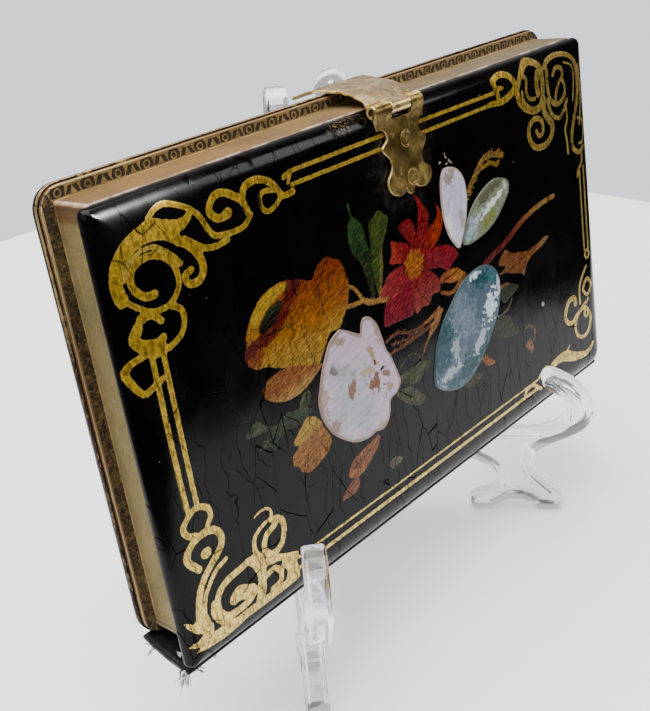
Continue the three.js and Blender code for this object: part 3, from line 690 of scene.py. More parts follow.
canvas.shape("gilt", [(-55.2, 20.4), (-55.9, 22.5), (-55.5, 25.5), (-54.2, 27.5), (-52.6, 28.7), (-50, 29.6),
    (-48.4, 29.9), (-46.5, 29.2), (-44.6, 28.6), (-43, 28.8), (-42.1, 29.8), (-42.2, 28.2), (-43.6, 27.1),
    (-44.6, 26.8), (-44, 25.4), (-45.4, 25.6), (-47.4, 26.8), (-50, 27.1), (-52, 26.5), (-53.6, 25),
    (-54.3, 23), (-54, 21.2)])
canvas.shape("gilt", [(-55, 15.4), (-54, 16.4), (-53.2, 15.6), (-51.8, 15.2), (-50.4, 14.4), (-49.6, 13),
    (-51.4, 12.7), (-53.4, 13.6)])
canvas.shape("gilt", [(-38.5, -26.2), (-36.6, -26.2), (-35.5, -27.6), (-35.6, -29.8), (-38.4, -29.9), (-37.6, -28)])

# Leaves lie lowest, then stems and flowers.
DIM_GREEN, GREY_GREEN = (58, 80, 68), (78, 96, 74)
canvas.shape("paint", [(-40.5, -4.5), (-38.2, -2.9), (-36.5, -4.3), (-34.8, -5), (-32.5, -4.2), (-30, -4.6),
    (-28.8, -3), (-27.3, -2.7), (-27.2, -4), (-28, -5.2), (-27.2, -6), (-29.5, -7), (-33, -6.9), (-34.8, -7.4),
    (-35.5, -8.7), (-36.6, -7.6), (-38.6, -7.4), (-37.2, -6.2), (-36.4, -5.2)],
    lambda x, z: blend_tones((62, 90, 76), (84, 112, 92), fade(-7, -3, z)))
canvas.shape("paint", [(-14.4, 16.5), (-14.2, 14.5), (-13.6, 13.2), (-12.4, 11.6), (-11.5, 8), (-11, 5.4),
    (-10.3, 5.6), (-10.2, 9), (-10.2, 13), (-10.6, 14.5), (-11, 17), (-12, 18.6), (-13, 19.6), (-13.3, 21.5),
    (-13.8, 21.3), (-13.4, 19.3), (-14, 18.5)], lambda x, z: blend_tones((30, 62, 34), (52, 104, 60), fade(8, 18, z)))
canvas.shape("paint", [(-9.6, 6), (-9.9, 9), (-9.9, 12.5), (-9.6, 15.2), (-9.5, 17), (-8.2, 17.9), (-6.9, 18.5),
    (-5.8, 17.4), (-5, 16.8), (-5.9, 14.6), (-7.2, 12.6), (-7.6, 9.5), (-8.5, 6.5), (-9.1, 5.6)],
    lambda x, z: blend_tones((66, 108, 48), (122, 138, 64), fade(-8.6, -6.6, x) * (1 - fade(9, 16, z)) + 0.25
    * fade(12, 18, z)))
canvas.stroke("paint", [(-9.2, 5.6), (-8.4, 8), (-7.6, 12)], 0.5, 0.35, (138, 136, 66))
canvas.shape("paint", [(-8, -9.8), (-4, -8.9), (-0.2, -9.4), (0.8, -10.2), (-1.5, -11.6), (-3.6, -12.2),
    (-6.5, -10.9)], GREY_GREEN)
canvas.shape("paint", [(-8.6, -12), (-5.3, -11.9), (-2.8, -14), (-1.7, -15.6), (-3.2, -16.2), (-6, -14.8)],
    (88, 104, 82))
canvas.stroke("paint", [(-7, -8), (-5, -7), (-2.7, -7.1), (-1, -8.8)], 0.25, 0.25, (110, 112, 84))
canvas.shape("paint", [(19, -10.5), (22, -10.2), (24.6, -11), (26, -13.5), (27.3, -15.4), (23, -14.6),
    (19.8, -13.2), (18, -12)], (62, 82, 72))
canvas.shape("paint", [(22.5, -5.2), (25, -5), (28.2, -6.4), (26, -7.4), (23.3, -8)], DIM_GREEN)
canvas.stroke("paint", [(22.8, -4.8), (24, -4.7), (25.6, -5)], 0.5, 0.3, (140, 120, 84))
canvas.stroke("paint", [(20.5, -9.5), (22, -9.9), (24.4, -9.4), (26, -8)], 0.35, 0.25, (124, 138, 108))
canvas.shape("paint", [(8.6, -17.8), (11.6, -16.9), (14.6, -18.4), (12.4, -19.4), (10, -19)], (72, 84, 62))
canvas.shape("paint", [(-12.3, -22.7), (-10.8, -22.2), (-9, -23.5), (-11.8, -24)], (110, 118, 108))

for streak in (((10.7, 22.7), (11.2, 21.7)), ((11.7, 21.4), (12.6, 20.4)), ((10.9, 21), (11.4, 20.7)),
    ((9.2, 21.6), (9.9, 21.4))):
    canvas.stroke("paint", streak, 0.4, 0.16, (250, 255, 255))
for spine_points, width in ((((-9.3, -2.4), (-6.5, -2), (-3, -3.2), (0.6, -3.2), (4.6, -2.5)), 0.5),
        (((-8.8, -4.7), (-4, -4.7), (0, -4.3), (4, -3.9)), 0.5), (((-8, -3.4), (-4, -4), (0, -3.6)), 0.35)):
    canvas.stroke("paint", spine_points, width, width, (122, 78, 50))
    for k, (x, z) in enumerate(smooth_line(spine_points, step=0.75)[:-1]):
        lean = 1 if k % 2 else -1
        canvas.stroke("paint", [(x, z), (x + 0.45, z + 0.55 * lean)], 0.28, 0.1, (132, 84, 52))
canvas.stroke("paint", [(-1, -8.4), (0.8, -6.3), (3.2, -4.8), (4.6, -3.6)], 0.3, 0.75, (176, 136, 84))
canvas.stroke("paint", [(1.6, -5.2), (3.4, -3.6), (5.4, -2.6)], 0.4, 0.8, (196, 152, 84))
canvas.stroke("paint", [(0.6, -3.2), (3, -2.6), (4.8, -2)], 0.4, 0.7, (184, 138, 76))
canvas.shape("paint", [(5.6, 2.2), (6.6, 3.2), (8.6, 3.4), (10.6, 3.1), (12.2, 2), (13.3, 1.2), (11.4, 0.9),
    (9, 1), (7.2, 1.7)], lambda x, z: blend_tones((176, 96, 58), (206, 150, 62), fade(6, 11, x)))
canvas.stroke("paint", [(6, 0.3), (8.5, -0.6), (11, 0.2), (13, 0.8)], 0.6, 0.9, (178, 122, 62))
canvas.shape("paint", [(22.8, -0.3), (24.5, 1.2), (25.6, 1.3), (27, 0.2), (29.5, -0.4), (32, -1), (35, -0.8),
    (38, -0.3), (39.4, -0.6), (36.8, -1.7), (33.2, -2.4), (31.2, -3.8), (30.5, -5.3), (29.6, -4.4), (27, -3.6),
    (24.8, -2.7), (22.7, -2.4), (25, -1.6), (23.5, -1)], lambda x, z: blend_tones((150, 104, 58),
    (178, 150, 108), fade(33, 39, x)))
canvas.stroke("paint", [(18.6, 1), (22, 1.9), (26, 3), (30, 4.6), (34, 5.7), (38, 6.3), (42.2, 6.5)], 1.2, 0.9,
    lambda x, z: blend_tones((132, 44, 46), (196, 166, 104), fade(24, 38, x)))
canvas.stroke("paint", [(-16, 9.4), (-14.6, 8.4), (-13.2, 6.3), (-12, 5.2), (-9, 4.6), (-6.5, 4)], 0.5, 1,
    (196, 162, 84))
canvas.stroke("paint", [(-16.8, 6.3), (-14.5, 6), (-12.5, 5.8), (-11, 4.9)], 0.7, 0.7, (200, 168, 92))
sprig = [(15.3, 13.7), (16.6, 15.5), (18.6, 17.2), (20.6, 18.8), (22.6, 19.4), (24.6, 19), (26.6, 18.4)]
canvas.stroke("paint", sprig, 0.7, 1.1, (176, 156, 70))
canvas.stroke("paint", [(20.5, 17.6), (23, 17.9), (25, 17.1), (25.6, 17.4)], 0.7, 0.8, (168, 150, 72))
for k, (x, z) in enumerate(smooth_line(sprig, step=0.26)[:-1]):
    lean = (0.75 if k % 2 else -0.6) * (0.7 + 0.5 * math.sin(k * 2.4))
    canvas.stroke("paint", [(x, z), (x + 1.1, z + lean)], 0.42, 0.18, (196 - 30 * (k % 3), 176 - 24 * (k % 4), 84))
canvas.shape("paint", [(-22, -20.2), (-20.8, -18.2), (-18.6, -17.4), (-15.9, -16.9), (-14, -16.4), (-13.8, -17),
    (-14.6, -18.5), (-16.4, -19.7), (-18.4, -20.9), (-20.2, -21.1)], (178, 132, 96))
canvas.shape("paint", [(-20.2, -21), (-22.3, -21.6), (-24.2, -23.2), (-21.4, -23.4), (-20, -22.6)], (164, 116, 92))
canvas.shape("paint", [(15, -15.3), (16, -15), (17.4, -16.4), (19, -17.7), (17.6, -18), (15.9, -17)], (170, 122, 76))
canvas.stroke("paint", [(29.2, -15.3), (31, -15.4), (32.3, -16.9), (31.6, -18.6)], 0.35, 0.4, (140, 128, 110))
canvas.shape("paint", [(28.7, -19), (30, -17.9), (31, -18.5), (31.4, -20), (30.6, -21), (30, -20.2),
    (29.3, -19.3)], (160, 118, 96))
canvas.shape("paint", [(35.2, -12.9), (35.7, -12.4), (36.3, -12.9), (35.8, -13.4)], (255, 255, 255))

# The amber flower, its lower lobe and its bud.
def amber(x, z):
    tone = blend_tones((204, 176, 62), (184, 118, 38), fade(3, 11, z + 0.15 * (x + 30)))
    tone = tone * (1 - fade(9, 14, z)) + np.array((156, 76, 28)) / 255 * fade(9, 14, z)
    gold = np.array((222, 196, 62)) / 255
    near_foot = fade(-24, -19, x) * (1 - fade(3, 8, z))
    return tone * (1 - near_foot) + gold * near_foot


canvas.shape("paint", [(-37.3, 7.9), (-36.9, 9.9), (-35.2, 12.3), (-33, 14), (-30, 14.7), (-27.8, 14.5),
    (-25.5, 13.8), (-23.2, 12.9), (-22.2, 14), (-20, 15.2), (-18, 14.4), (-16.7, 13.4), (-16, 11.2),
    (-15.8, 9.2), (-16.6, 6.8), (-18, 5), (-19, 3.8), (-21, 3.9), (-22.3, 2.6), (-23.9, 0.6), (-24.8, 0.2),
    (-27.5, 1), (-30, 2), (-32.5, 3), (-34.5, 4), (-36.3, 4.3), (-37.1, 5.8)], amber)
canvas.shape("paint", [(-36, 0.4), (-35.4, 1.6), (-33, 2.3), (-30, 2), (-27, 1), (-24.8, 0.1), (-23.6, -0.1),
    (-25.5, -1.2), (-28, -2.3), (-31, -2.6), (-33.6, -1.9), (-35.3, -0.8)],
    lambda x, z: blend_tones((214, 186, 112), (176, 120, 62), fade(-2.2, 0.2, z - 0.12 * (x + 30))))
canvas.stroke("paint", [(-36.9, 6.8), (-35, 7.6), (-32.4, 8.4), (-30.2, 9.8), (-28.4, 11.8), (-26.6, 13.4)],
    2.2, 1.7, (112, 30, 26))
canvas.stroke("paint", [(-36.9, 5.6), (-36, 5.2), (-35, 6.4)], 1.4, 1.2, (168, 96, 46))
canvas.shape("paint", [(-36.9, 8.8), (-36.2, 10.8), (-34.2, 13.2), (-31.4, 14.4), (-28.4, 14.5), (-28.2, 13.9),
    (-30.2, 12.9), (-32.6, 11.9), (-34.2, 10.4), (-34.9, 8.9), (-36, 8.6)],
    lambda x, z: blend_tones((188, 140, 44), (228, 204, 64), fade(9, 11.5, z)))
canvas.shape("paint", [(-34.6, 8.9), (-34, 10.4), (-31.8, 11.9), (-29.6, 12.1), (-30.4, 10.7), (-32.4, 9.2)],
    lambda x, z: blend_tones((10, 12, 12), (44, 66, 48), fade(9.8, 11.4, z - 0.2 * (x + 32))))
canvas.shape("paint", [(-32, -9.3), (-30, -7.6), (-28, -6.8), (-26.3, -8), (-25.5, -9.8), (-24.4, -12),
    (-25, -13.5), (-27, -14.6), (-29.5, -15.2), (-31.2, -14.5), (-31.8, -13.3), (-32.7, -12.8), (-32.5, -11.2),
    (-30.8, -10.2), (-31.8, -9.9)], lambda x, z: blend_tones((190, 146, 84), (224, 206, 104),
    fade(-10.2, -9.2, z - 0.25 * (x + 29))))

# The crimson flower with its stamens.
CRIMSON, ROSE, ORANGE = (156, 24, 50), (178, 48, 70), (198, 74, 30)
canvas.shape("paint", [(-2.8, 14.2), (-1, 15.1), (0.4, 14.6), (1.2, 12), (1.4, 10), (0.2, 9.5), (-0.9, 11.5)],
    (150, 26, 44))
canvas.shape("paint", [(0.8, 9.5), (1.4, 12), (2.3, 15), (2.4, 16.6), (1.6, 18.3), (2.6, 17.9), (3.9, 16),
    (4.9, 14.3), (4.3, 12), (3, 10)], lambda x, z: blend_tones(CRIMSON, (190, 40, 44), fade(13, 18, z)))
canvas.shape("paint", [(-5, 12.8), (-3.5, 12.2), (-1.3, 11.2), (-0.5, 9), (-2.5, 8.4), (-4.5, 9), (-6, 9.5),
    (-5.2, 11)], lambda x, z: blend_tones((190, 66, 52), CRIMSON, fade(-5, -1, x)))
canvas.shape("paint", [(6.8, 15.8), (7.7, 14.5), (8.4, 12.6), (7.7, 10.6), (6, 9), (3.6, 8.7), (3, 10.3),
    (4.6, 12), (6.6, 12.9), (7.3, 14.2)], lambda x, z: blend_tones((176, 44, 40), ORANGE, fade(4, 7, x)))
canvas.shape("paint", [(3, 9), (5, 8.6), (8, 8), (10.3, 6.9), (11.5, 5.2), (9.8, 4.4), (8.4, 3.4), (6.5, 4.6),
    (4.2, 5.2), (2.3, 6)], (164, 30, 62))
canvas.shape("paint", [(0.2, 6), (2.5, 5.4), (4.4, 4.4), (5.7, 2.6), (5.5, 0.9), (3.6, 0.9), (2.3, -0.4),
    (0.7, -0.2), (-1, -0.7), (-1.5, 1.5), (-1.1, 4)], lambda x, z: blend_tones((176, 76, 76), (160, 36, 60),
    fade(0.5, 5, z)))
canvas.shape("paint", [(-1.6, 6), (-1.2, 4), (-1.7, 1), (-2, -0.5), (-4.5, -0.4), (-7, -0.2), (-9, 0.1),
    (-8.9, 1.6), (-7.9, 3.7), (-5, 4.6)], (158, 28, 66))
canvas.shape("paint", [(-1.8, 7.8), (-4, 8.2), (-6.5, 7.9), (-7.9, 6.7), (-9.1, 5.3), (-7.6, 4.6), (-5, 4),
    (-2.4, 4.9), (-1.3, 6)], lambda x, z: blend_tones((186, 70, 80), ROSE, fade(-8, -4, x)))
canvas.shape("paint", [(-2.4, 9.4), (0, 10.4), (2.6, 9.4), (3.4, 7), (2, 5), (-0.8, 4.6), (-2.6, 6.4)], (150, 30, 44))
for k in range(44):
    turn, out = 2.39996 * k, 2.45 * math.sqrt((k + 0.5) / 44)
    x, z = -0.1 + out * math.cos(turn) * 0.95, 7.3 + out * math.sin(turn)
    canvas.stroke("paint", [(x, z), (x + 0.12, z + 0.1)], 0.34, 0.34, (214, 140 + 6 * (k % 4), 62))

# Fine dark lines: veins, hatching and the cracks that run through the paint.
DARK_LINES = (
    (0.26, (-28.1, 14.6), (-27.3, 11), (-26.7, 7), (-25.6, 2.6), (-24.8, 0.1)),
    (0.28, (-22.4, 13), (-22, 9), (-21.2, 6), (-20.4, 3.9)), (0.18, (-21.9, 8.7), (-19, 9.4), (-16, 9.2)),
    (0.14, (-33.8, 13), (-33.2, 11.3)), (0.14, (-32.2, 7.8), (-32, 5.4)), (0.14, (-31.4, 14.3), (-30.4, 12.4)),
    (0.16, (-35, 0.2), (-33, -1), (-31, -2.5)), (0.16, (-30.4, 0.8), (-29, -1), (-27.8, -2.2)),
    (0.18, (-27, -14.5), (-25.4, -12.8), (-24.2, -12.2)), (0.13, (-30.2, -13), (-28.4, -14)),
    (0.12, (-30, -9.6), (-27.6, -8.4)), (0.2, (23.4, -0.9), (27, -1.2), (31, -1), (34, -1.2)),
    (0.22, (24.8, -2.5), (28, -2.3), (31, -2.1)), (0.14, (25, 0.6), (28, -0.4)),
    (0.16, (1, 14.2), (1.6, 11), (1.2, 9.4)), (0.16, (4.6, 12.2), (3.4, 10.6), (2.6, 9)),
    (0.14, (3.4, 8.9), (5.6, 8.8), (7.8, 8.4)), (0.16, (2.6, 6), (4.6, 5), (6.6, 4.6)),
    (0.16, (-1.2, 5.6), (-4, 4.4), (-7.6, 4.4)), (0.14, (-1.2, 8.4), (-4, 8.7), (-5.6, 9)),
    (0.16, (-0.9, 11.4), (-0.4, 10.2), (0.4, 9.4)), (0.1, (2.6, 16.6), (2.9, 13), (2.4, 10)),
    (0.1, (7.2, 14), (5.8, 11.4), (4, 9.6)), (0.1, (9.6, 5.4), (6, 6.6), (3, 7.4)),
    (0.1, (-7.8, 5.8), (-5, 6.4), (-2.2, 6.8)), (0.1, (-7.6, 0.8), (-4.4, 2.8), (-1.8, 5)),
    (0.1, (4.6, 1.4), (2.8, 3.6), (1, 5.4)), (0.1, (0.2, -0.2), (-0.4, 3)),
    (0.12, (-12.2, 18.2), (-12.4, 14), (-10.8, 7)), (0.12, (-8, 17.4), (-8.6, 13), (-9, 8)),
    (0.16, (-1.6, 4.2), (-1.5, 2), (-1.8, -0.4)), (0.12, (-5.4, 4), (-3.6, 1.4)),
    (0.12, (1.4, 5), (2.2, 2), (2.1, -0.2)), (0.5, (40.4, 6.1), (40.6, 6.9)),
    (0.14, (6.6, 2.2), (9, 2.3), (11.8, 1.7)), (0.14, (-7.4, -10), (-4.4, -10.3), (-0.8, -10.3)),
    (0.14, (-7.6, -12.4), (-5, -13.4), (-2.6, -15.6)), (0.2, (-19.9, -17.6), (-19.7, -21.2)),
    (0.16, (-18.9, -17.3), (-18.8, -20.9)), (0.16, (-18, -17.2), (-17.9, -20.6)),
    (0.16, (-17.1, -17), (-16.9, -20)), (0.16, (-16.2, -16.9), (-16, -19.5)),
    (0.14, (-15.2, -16.6), (-15, -18.8)), (0.15, (-22, -19.4), (-18, -18.7), (-14.4, -17.6)),
    (0.16, (-38, -4.6), (-34, -5.8), (-29, -5.4)), (0.14, (-36.6, -6.6), (-33, -5.9)),
    (0.14, (20, -11.4), (23.4, -12.4), (26.6, -15)),
)
for width, *points in DARK_LINES:
    canvas.stroke("line", points, width, width)


def write_fields(mesh, canvas, facing_points):
    """Gives the face's points their depths and colours. The rest of the board stays bare."""
    for layer, field in canvas.fields.items():
        values = np.full(len(mesh.vertices), -FIELD_REACH, np.float32)
        values[:facing_points] = field
        mesh.attributes.new(layer, "FLOAT", "POINT").data.foreach_set("value", values)
    tones = np.zeros((len(mesh.vertices), 4), np.float32)
    tones[:, 3] = 1
    tones[:facing_points, :3] = np.clip(canvas.color, 0, 1) ** 2.2
    mesh.attributes.new("paint_color", "FLOAT_COLOR", "POINT").data.foreach_set("color", tones.ravel())


write_fields(front_board.data, canvas, face_x.size)


# Back board: the same pressing of papier-mache as the front one, set a little higher and facing
# backwards. It is lacquered plain black, and its corners are rounder.
TRAY_DEPTH = 7.4
LINING = 0.4
GAP = 0.25
BACK_LIFT = 2.2
BACK_SLIP = -0.4
BACK_EDGE = 0.5
back_front = TRAY_DEPTH + 2 * GAP + LINING
lacquer = lacquer_material("black_lacquer", False, back_front + BACK_EDGE)
back_board, _, _ = board_piece(
    "lacquered_back", 1.2, 1, back_front + BACK_EDGE, BACK_EDGE + GAP, (BACK_SLIP, BACK_LIFT), BACK_CORNER,
    lacquer, "root")
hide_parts("back_board")


# Lining: a sheet of brown leather glued inside the back board. A hot tool has pressed a border of
# gilt ovals and leaves into the margin that shows round the tray.
def rounded_outline(width, height, radius, shift=(0, 0), steps=10):
    points = []
    for sign_x, sign_z, start in ((1, 1, 0), (-1, 1, 1), (-1, -1, 2), (1, -1, 3)):
        for k in range(steps + 1):
            turn = (start + k / steps) * math.pi / 2
            points.append((
                sign_x * (width / 2 - radius) + radius * math.cos(turn) + shift[0],
                sign_z * (height / 2 - radius) + radius * math.sin(turn) + shift[1],
            ))
    return points


def inset_outline(points, by):
    """Moves each point of a closed outline inwards along its own normal."""
    count = len(points)
    area = sum(points[k - 1][0] * points[k][1] - points[k][0] * points[k - 1][1] for k in range(count))
    sign = 1 if area > 0 else -1
    moved = []
    for k in range(count):
        before, here, after = Vector(points[k - 1]), Vector(points[k]), Vector(points[(k + 1) % count])
        way = ((here - before).normalized() + (after - here).normalized())
        way = way.normalized() if way.length > 1e-9 else (after - here).normalized()
        moved.append(tuple(here + by * sign * Vector((-way.y, way.x))))
    return moved


def plate_rings(outline, front, back, bevel, steps=3):
    """Rings of a flat plate in the face's plane, from front to back, with rounded edges."""
    rings = []
    for k in range(steps + 1):
        turn = k / steps * math.pi / 2
        ring = inset_outline(outline, bevel * (1 - math.sin(turn)))
        rings.append([(x, front + bevel * (1 - math.cos(turn)), z) for x, z in ring])
    for k in range(steps + 1):
        turn = k / steps * math.pi / 2
        ring = inset_outline(outline, bevel * (1 - math.cos(turn)))
        rings.append([(x, back - bevel * (1 - math.sin(turn)), z) for x, z in ring])
    return rings


def plate_piece(name, outline, front, back, bevel, material, body, node):
    piece = new_piece(name, *skin(plate_rings(outline, front, back, bevel)), material, body, node)
    for polygon in piece.data.polygons:
        if len(polygon.vertices) > 4:
            polygon.use_smooth = False
    return piece


LINING_MARGIN = 0.25
TOOL_PITCH = 4.7


def tooled_material():
    """Brown leather with a gilt-tooled border of ovals between leaves, rubbed darker at the sides."""
    m = Shader("tooled_leather", 0.45)
    x, y, z = m.split()
    from_side = BOARD_WIDTH / 2 - LINING_MARGIN - abs(x - BACK_SLIP)
    from_top = BOARD_HEIGHT / 2 - LINING_MARGIN - abs(z - BACK_LIFT)
    at_side = m.math("LESS_THAN", from_side, from_top)
    inset = m.least(from_side, from_top)
    along = at_side * z + (1.0 - at_side) * x
    shake = m.noise(0.5, 3)
    along = along + shake * 0.7
    u = (m.math("FRACT", along / TOOL_PITCH) - 0.5) * TOOL_PITCH
    v = inset - (0.86 + shake * 0.3)
    out = m.math("SQRT", u * u + v * v)
    side = abs(u)
    eye = m.ramp(out, 0.38, 0.3)
    moat = m.ramp(out, 0.55, 0.6) * m.ramp(out, 1.12, 1.02)
    leaf = m.ramp(abs(side + v * 0.5 - 1.72), 0.42, 0.3) * m.ramp(abs(v), 0.62, 0.5)
    tooled = m.most(eye, m.most(moat, leaf))
    outer = m.ramp(inset + m.noise(0.8, 3) * 0.14, 0.36, 0.28)
    near_corner = m.ramp(x, -28, -50) * m.ramp(z, 12, 32)
    inner = m.ramp(inset, 1.55, 1.64)
    tooled = m.math("MULTIPLY", tooled, 1.0 - m.most(outer, inner), clamp=True)
    tooled = tooled * (1.0 - at_side * 0.85)
    seam = m.ramp(abs(y - (TRAY_DEPTH + 0.36)), 0.14, 0.06) * m.ramp(m.noise(0.35, 3), 0.34, 0.48)
    leather = m.mix(m.ramp(m.noise(1.1, 4), 0.35, 0.7), (0.03, 0.024, 0.011), (0.014, 0.01, 0.006))
    gold = m.mix(m.ramp(m.noise(0.8, 4), 0.3, 0.7), (0.46, 0.32, 0.12), (0.26, 0.17, 0.055))
    gold = m.mix(outer, gold, m.mix(near_corner, (0.30, 0.19, 0.08), (0.50, 0.36, 0.16)))
    rubbed = m.ramp(m.noise(0.9, 5, 0.65), 0.4, 0.62)
    rubbed = m.most(rubbed * 0.45, at_side * m.ramp(rubbed, 0.0, 0.5, 0.7, 1.0)) * (1.0 - outer)
    specks = m.ramp(m.noise(2.3, 4, 0.65), 0.52, 0.6)
    rubbed = m.math("MULTIPLY", rubbed, 1.0 - specks * 0.42, clamp=True)
    color = m.mix(tooled, gold, leather)
    color = m.mix(rubbed, color, m.mix(m.ramp(m.noise(1.4, 3), 0.4, 0.6), (0.045, 0.024, 0.012), (0.012, 0.007, 0.005)))
    color = m.mix(seam, color, (0.04, 0.02, 0.01))
    shown = m.math("SUBTRACT", 1.0, m.most(tooled, rubbed), clamp=True)
    m.set("Base Color", color)
    m.set("Metallic", shown * 0.25)
    m.set("Roughness", m.ramp(shown, 0, 1, 0.6, 0.42))
    m.set("Normal", m.bump(tooled * -1.0 + m.noise(2.4, 3) * 0.5, 0.4, 0.00008))
    return m.material


lining_material = tooled_material()
lining = plate_piece(
    "tooled_lining",
    rounded_outline(BOARD_WIDTH - 2 * LINING_MARGIN, BOARD_HEIGHT - 2 * LINING_MARGIN,
    BACK_CORNER - LINING_MARGIN, (BACK_SLIP, BACK_LIFT)),
    TRAY_DEPTH, TRAY_DEPTH + GAP + LINING, 0.1, lining_material, "root", "lining")


# Tray: a shallow hollow box of card, wrapped in tan gilt paper and glued to the lining. It is open
# to the front board and holds the cards.
TRAY_SETBACK = 1.7
TRAY_SHORTFALL = 3.3
TRAY_PROUD = 0.2
TRAY_WALL = 1.4
TRAY_FLOOR = 0.6
tray_width = BOARD_WIDTH - 2 * TRAY_SETBACK
tray_height = BOARD_HEIGHT - TRAY_SHORTFALL
tray_shift = (0, TRAY_PROUD + (BOARD_HEIGHT - tray_height) / 2)


def paper_material():
    """Tan gilt paper, soiled, with fine fibres, and worn pale along its folds."""
    m = Shader("rim_paper", 0.75)
    x, y, z = m.split()
    color = m.mix(m.ramp(m.noise(0.12, 5, 0.6), 0.3, 0.72), (0.23, 0.172, 0.06), (0.135, 0.10, 0.032))
    fibres = m.noise(1.3, 4, 0.6, m.stretched(0.5, 1.6, 0.5))
    color = m.mix(m.ramp(fibres, 0.5, 0.72, 0.0, 0.35), color, (0.40, 0.28, 0.11))
    color = m.mix(m.ramp(m.noise(1.9, 4), 0.52, 0.75, 0.0, 0.5), color, (0.11, 0.065, 0.02))
    # The top, which faces up, is toned darker, browner at the left and greyer at the right: painted shade on the tray's
    # top.
    top = m.ramp(z + m.noise(0.5, 3) * 0.4, 30.4, 31.4)
    color = m.mix(top, color, m.mix(m.ramp(x, -40, 40), m.tint(color, (0.70, 0.48, 0.22)),
        m.tint(color, (0.52, 0.5, 0.62))))
    stain = m.ramp(m.noise(0.3, 4, 0.6), 0.6, 0.72) * m.ramp(m.noise(1.6, 3), 0.4, 0.6, 0.3, 1.0)
    color = m.mix(stain * 0.7, color, (0.13, 0.045, 0.018))
    from_end = tray_width / 2 - abs(x)
    from_top = tray_height / 2 - abs(z - tray_shift[1])
    fold = m.most(from_end, from_top) + m.noise(0.8, 4) * 0.5
    color = m.mix(m.ramp(abs(fold - 1.25), 0.3, 0.1) * 0.75, color, (0.075, 0.04, 0.02))
    color = m.mix(m.ramp(fold, 0.85, 0.45) * m.ramp(m.noise(1.4, 3), 0.3, 0.6, 0.4, 0.9), color, (0.60, 0.42, 0.27))
    foot = m.ramp(y, TRAY_DEPTH - 0.5, TRAY_DEPTH - 0.2) * m.ramp(m.noise(0.4, 4), 0.4, 0.6, 0.2, 1.0)
    color = m.mix(foot, color, (0.42, 0.29, 0.12))
    lip = y + m.noise(1.3, 4, 0.65) * 1.2
    lip = m.ramp(lip, 1.25, 0.95) * m.ramp(m.noise(0.25, 3), 0.44, 0.56, 0.25, 1.0)
    color = m.mix(lip * 0.8, color, (0.50, 0.42, 0.33))
    m.set("Base Color", color)
    m.set("Roughness", m.ramp(m.noise(0.6, 3), 0.3, 0.7, 0.62, 0.85))
    m.set("Normal", m.bump(fibres + m.noise(3.5, 3), 0.35, 0.00006))
    return m.material


rim_paper = paper_material()


def tray_piece():
    outer = rounded_outline(tray_width, tray_height, 0.5, tray_shift, 5)
    inner = rounded_outline(tray_width - 2 * TRAY_WALL, tray_height - 2 * TRAY_WALL, 0.4, tray_shift, 5)
    lip, floor, foot = GAP, TRAY_DEPTH - TRAY_FLOOR, TRAY_DEPTH
    soft = 0.12
    rings = [
        [(x, floor, z) for x, z in inner],
        [(x, lip + soft, z) for x, z in inner],
        [(x, lip, z) for x, z in inset_outline(inner, -soft)],
        [(x, lip, z) for x, z in inset_outline(outer, soft)],
        [(x, lip + soft, z) for x, z in outer],
        [(x, foot, z) for x, z in outer],
    ]
    return new_piece("paper_tray", *skin(rings), rim_paper, "root", "tray", smooth=False)


tray = tray_piece()


# Spine: a strip of black leather glued along the lower edge of both boards. It is the hinge they
# turn on, and it bags downwards between them.
SPINE_THICKNESS = 0.8
SPINE_LENGTH = 113.4
SPINE_BULGE = 1.0
SPINE_STATIONS = 150


def spine_material():
    """Thin black leather, wrinkled across and rubbed grey and brown on its ridges."""
    m = Shader("spine_leather", 0.55)
    wrinkles = m.noise(0.5, 5, 0.65, m.stretched(0.5, 1.4, 1.4))
    grain = m.cells(1.5)
    color = m.mix(m.ramp(wrinkles, 0.4, 0.7), (0.004, 0.0038, 0.004), (0.011, 0.009, 0.008))
    color = m.mix(m.ramp(m.noise(0.7, 5, 0.65), 0.62, 0.72, 0.0, 0.4), color, (0.045, 0.032, 0.022))
    m.set("Base Color", color)
    m.set("Specular IOR Level", 0.2)
    m.set("Roughness", m.ramp(wrinkles, 0.3, 0.7, 0.38, 0.68))
    m.set("Normal", m.bump(wrinkles + grain * 0.25, 0.7, 0.0003))
    return m.material


spine_leather = spine_material()


def spine_section(bulge):
    """The strip's outline seen from the side, with rounded edges, as points of depth and height."""
    half = SPINE_THICKNESS / 2
    start = Vector((GAP, -BOARD_HEIGHT / 2 - GAP - half))
    end = Vector((back_front + 2 * BACK_EDGE, BACK_LIFT - BOARD_HEIGHT / 2 - GAP - half))
    middle = (start + end) / 2 + Vector((0, -bulge))
    lower, upper = [], []
    steps = 28
    for k in range(steps + 1):
        t = k / steps
        here = start * (1 - t) ** 2 + middle * 2 * t * (1 - t) + end * t * t
        way = ((middle - start) * (1 - t) + (end - middle) * t).normalized()
        side = Vector((-way.y, way.x)) * half
        lower.append(here - side)
        upper.append(here + side)
        if k == 0:
            start_way = way
    round_start = [start + half * Vector((-start_way.x * math.sin(a) - start_way.y * math.cos(a),
        -start_way.y * math.sin(a) + start_way.x * math.cos(a))) for a in (math.pi / 4, math.pi / 2, 3 * math.pi / 4)]
    round_end = [end + half * Vector((way.x * math.sin(a) + way.y * math.cos(a),
        way.y * math.sin(a) - way.x * math.cos(a))) for a in (math.pi / 4, math.pi / 2, 3 * math.pi / 4)]
    return lower + round_end + upper[::-1] + round_start


def spine_piece():
    section = spine_section(SPINE_BULGE)
    rings = [[(SPINE_LENGTH * (k / SPINE_STATIONS - 0.5), p.x, p.y) for p in section]
        for k in range(SPINE_STATIONS + 1)]
    return new_piece("leather_spine", *skin(rings), spine_leather, "root", "spine")


spine = spine_piece()


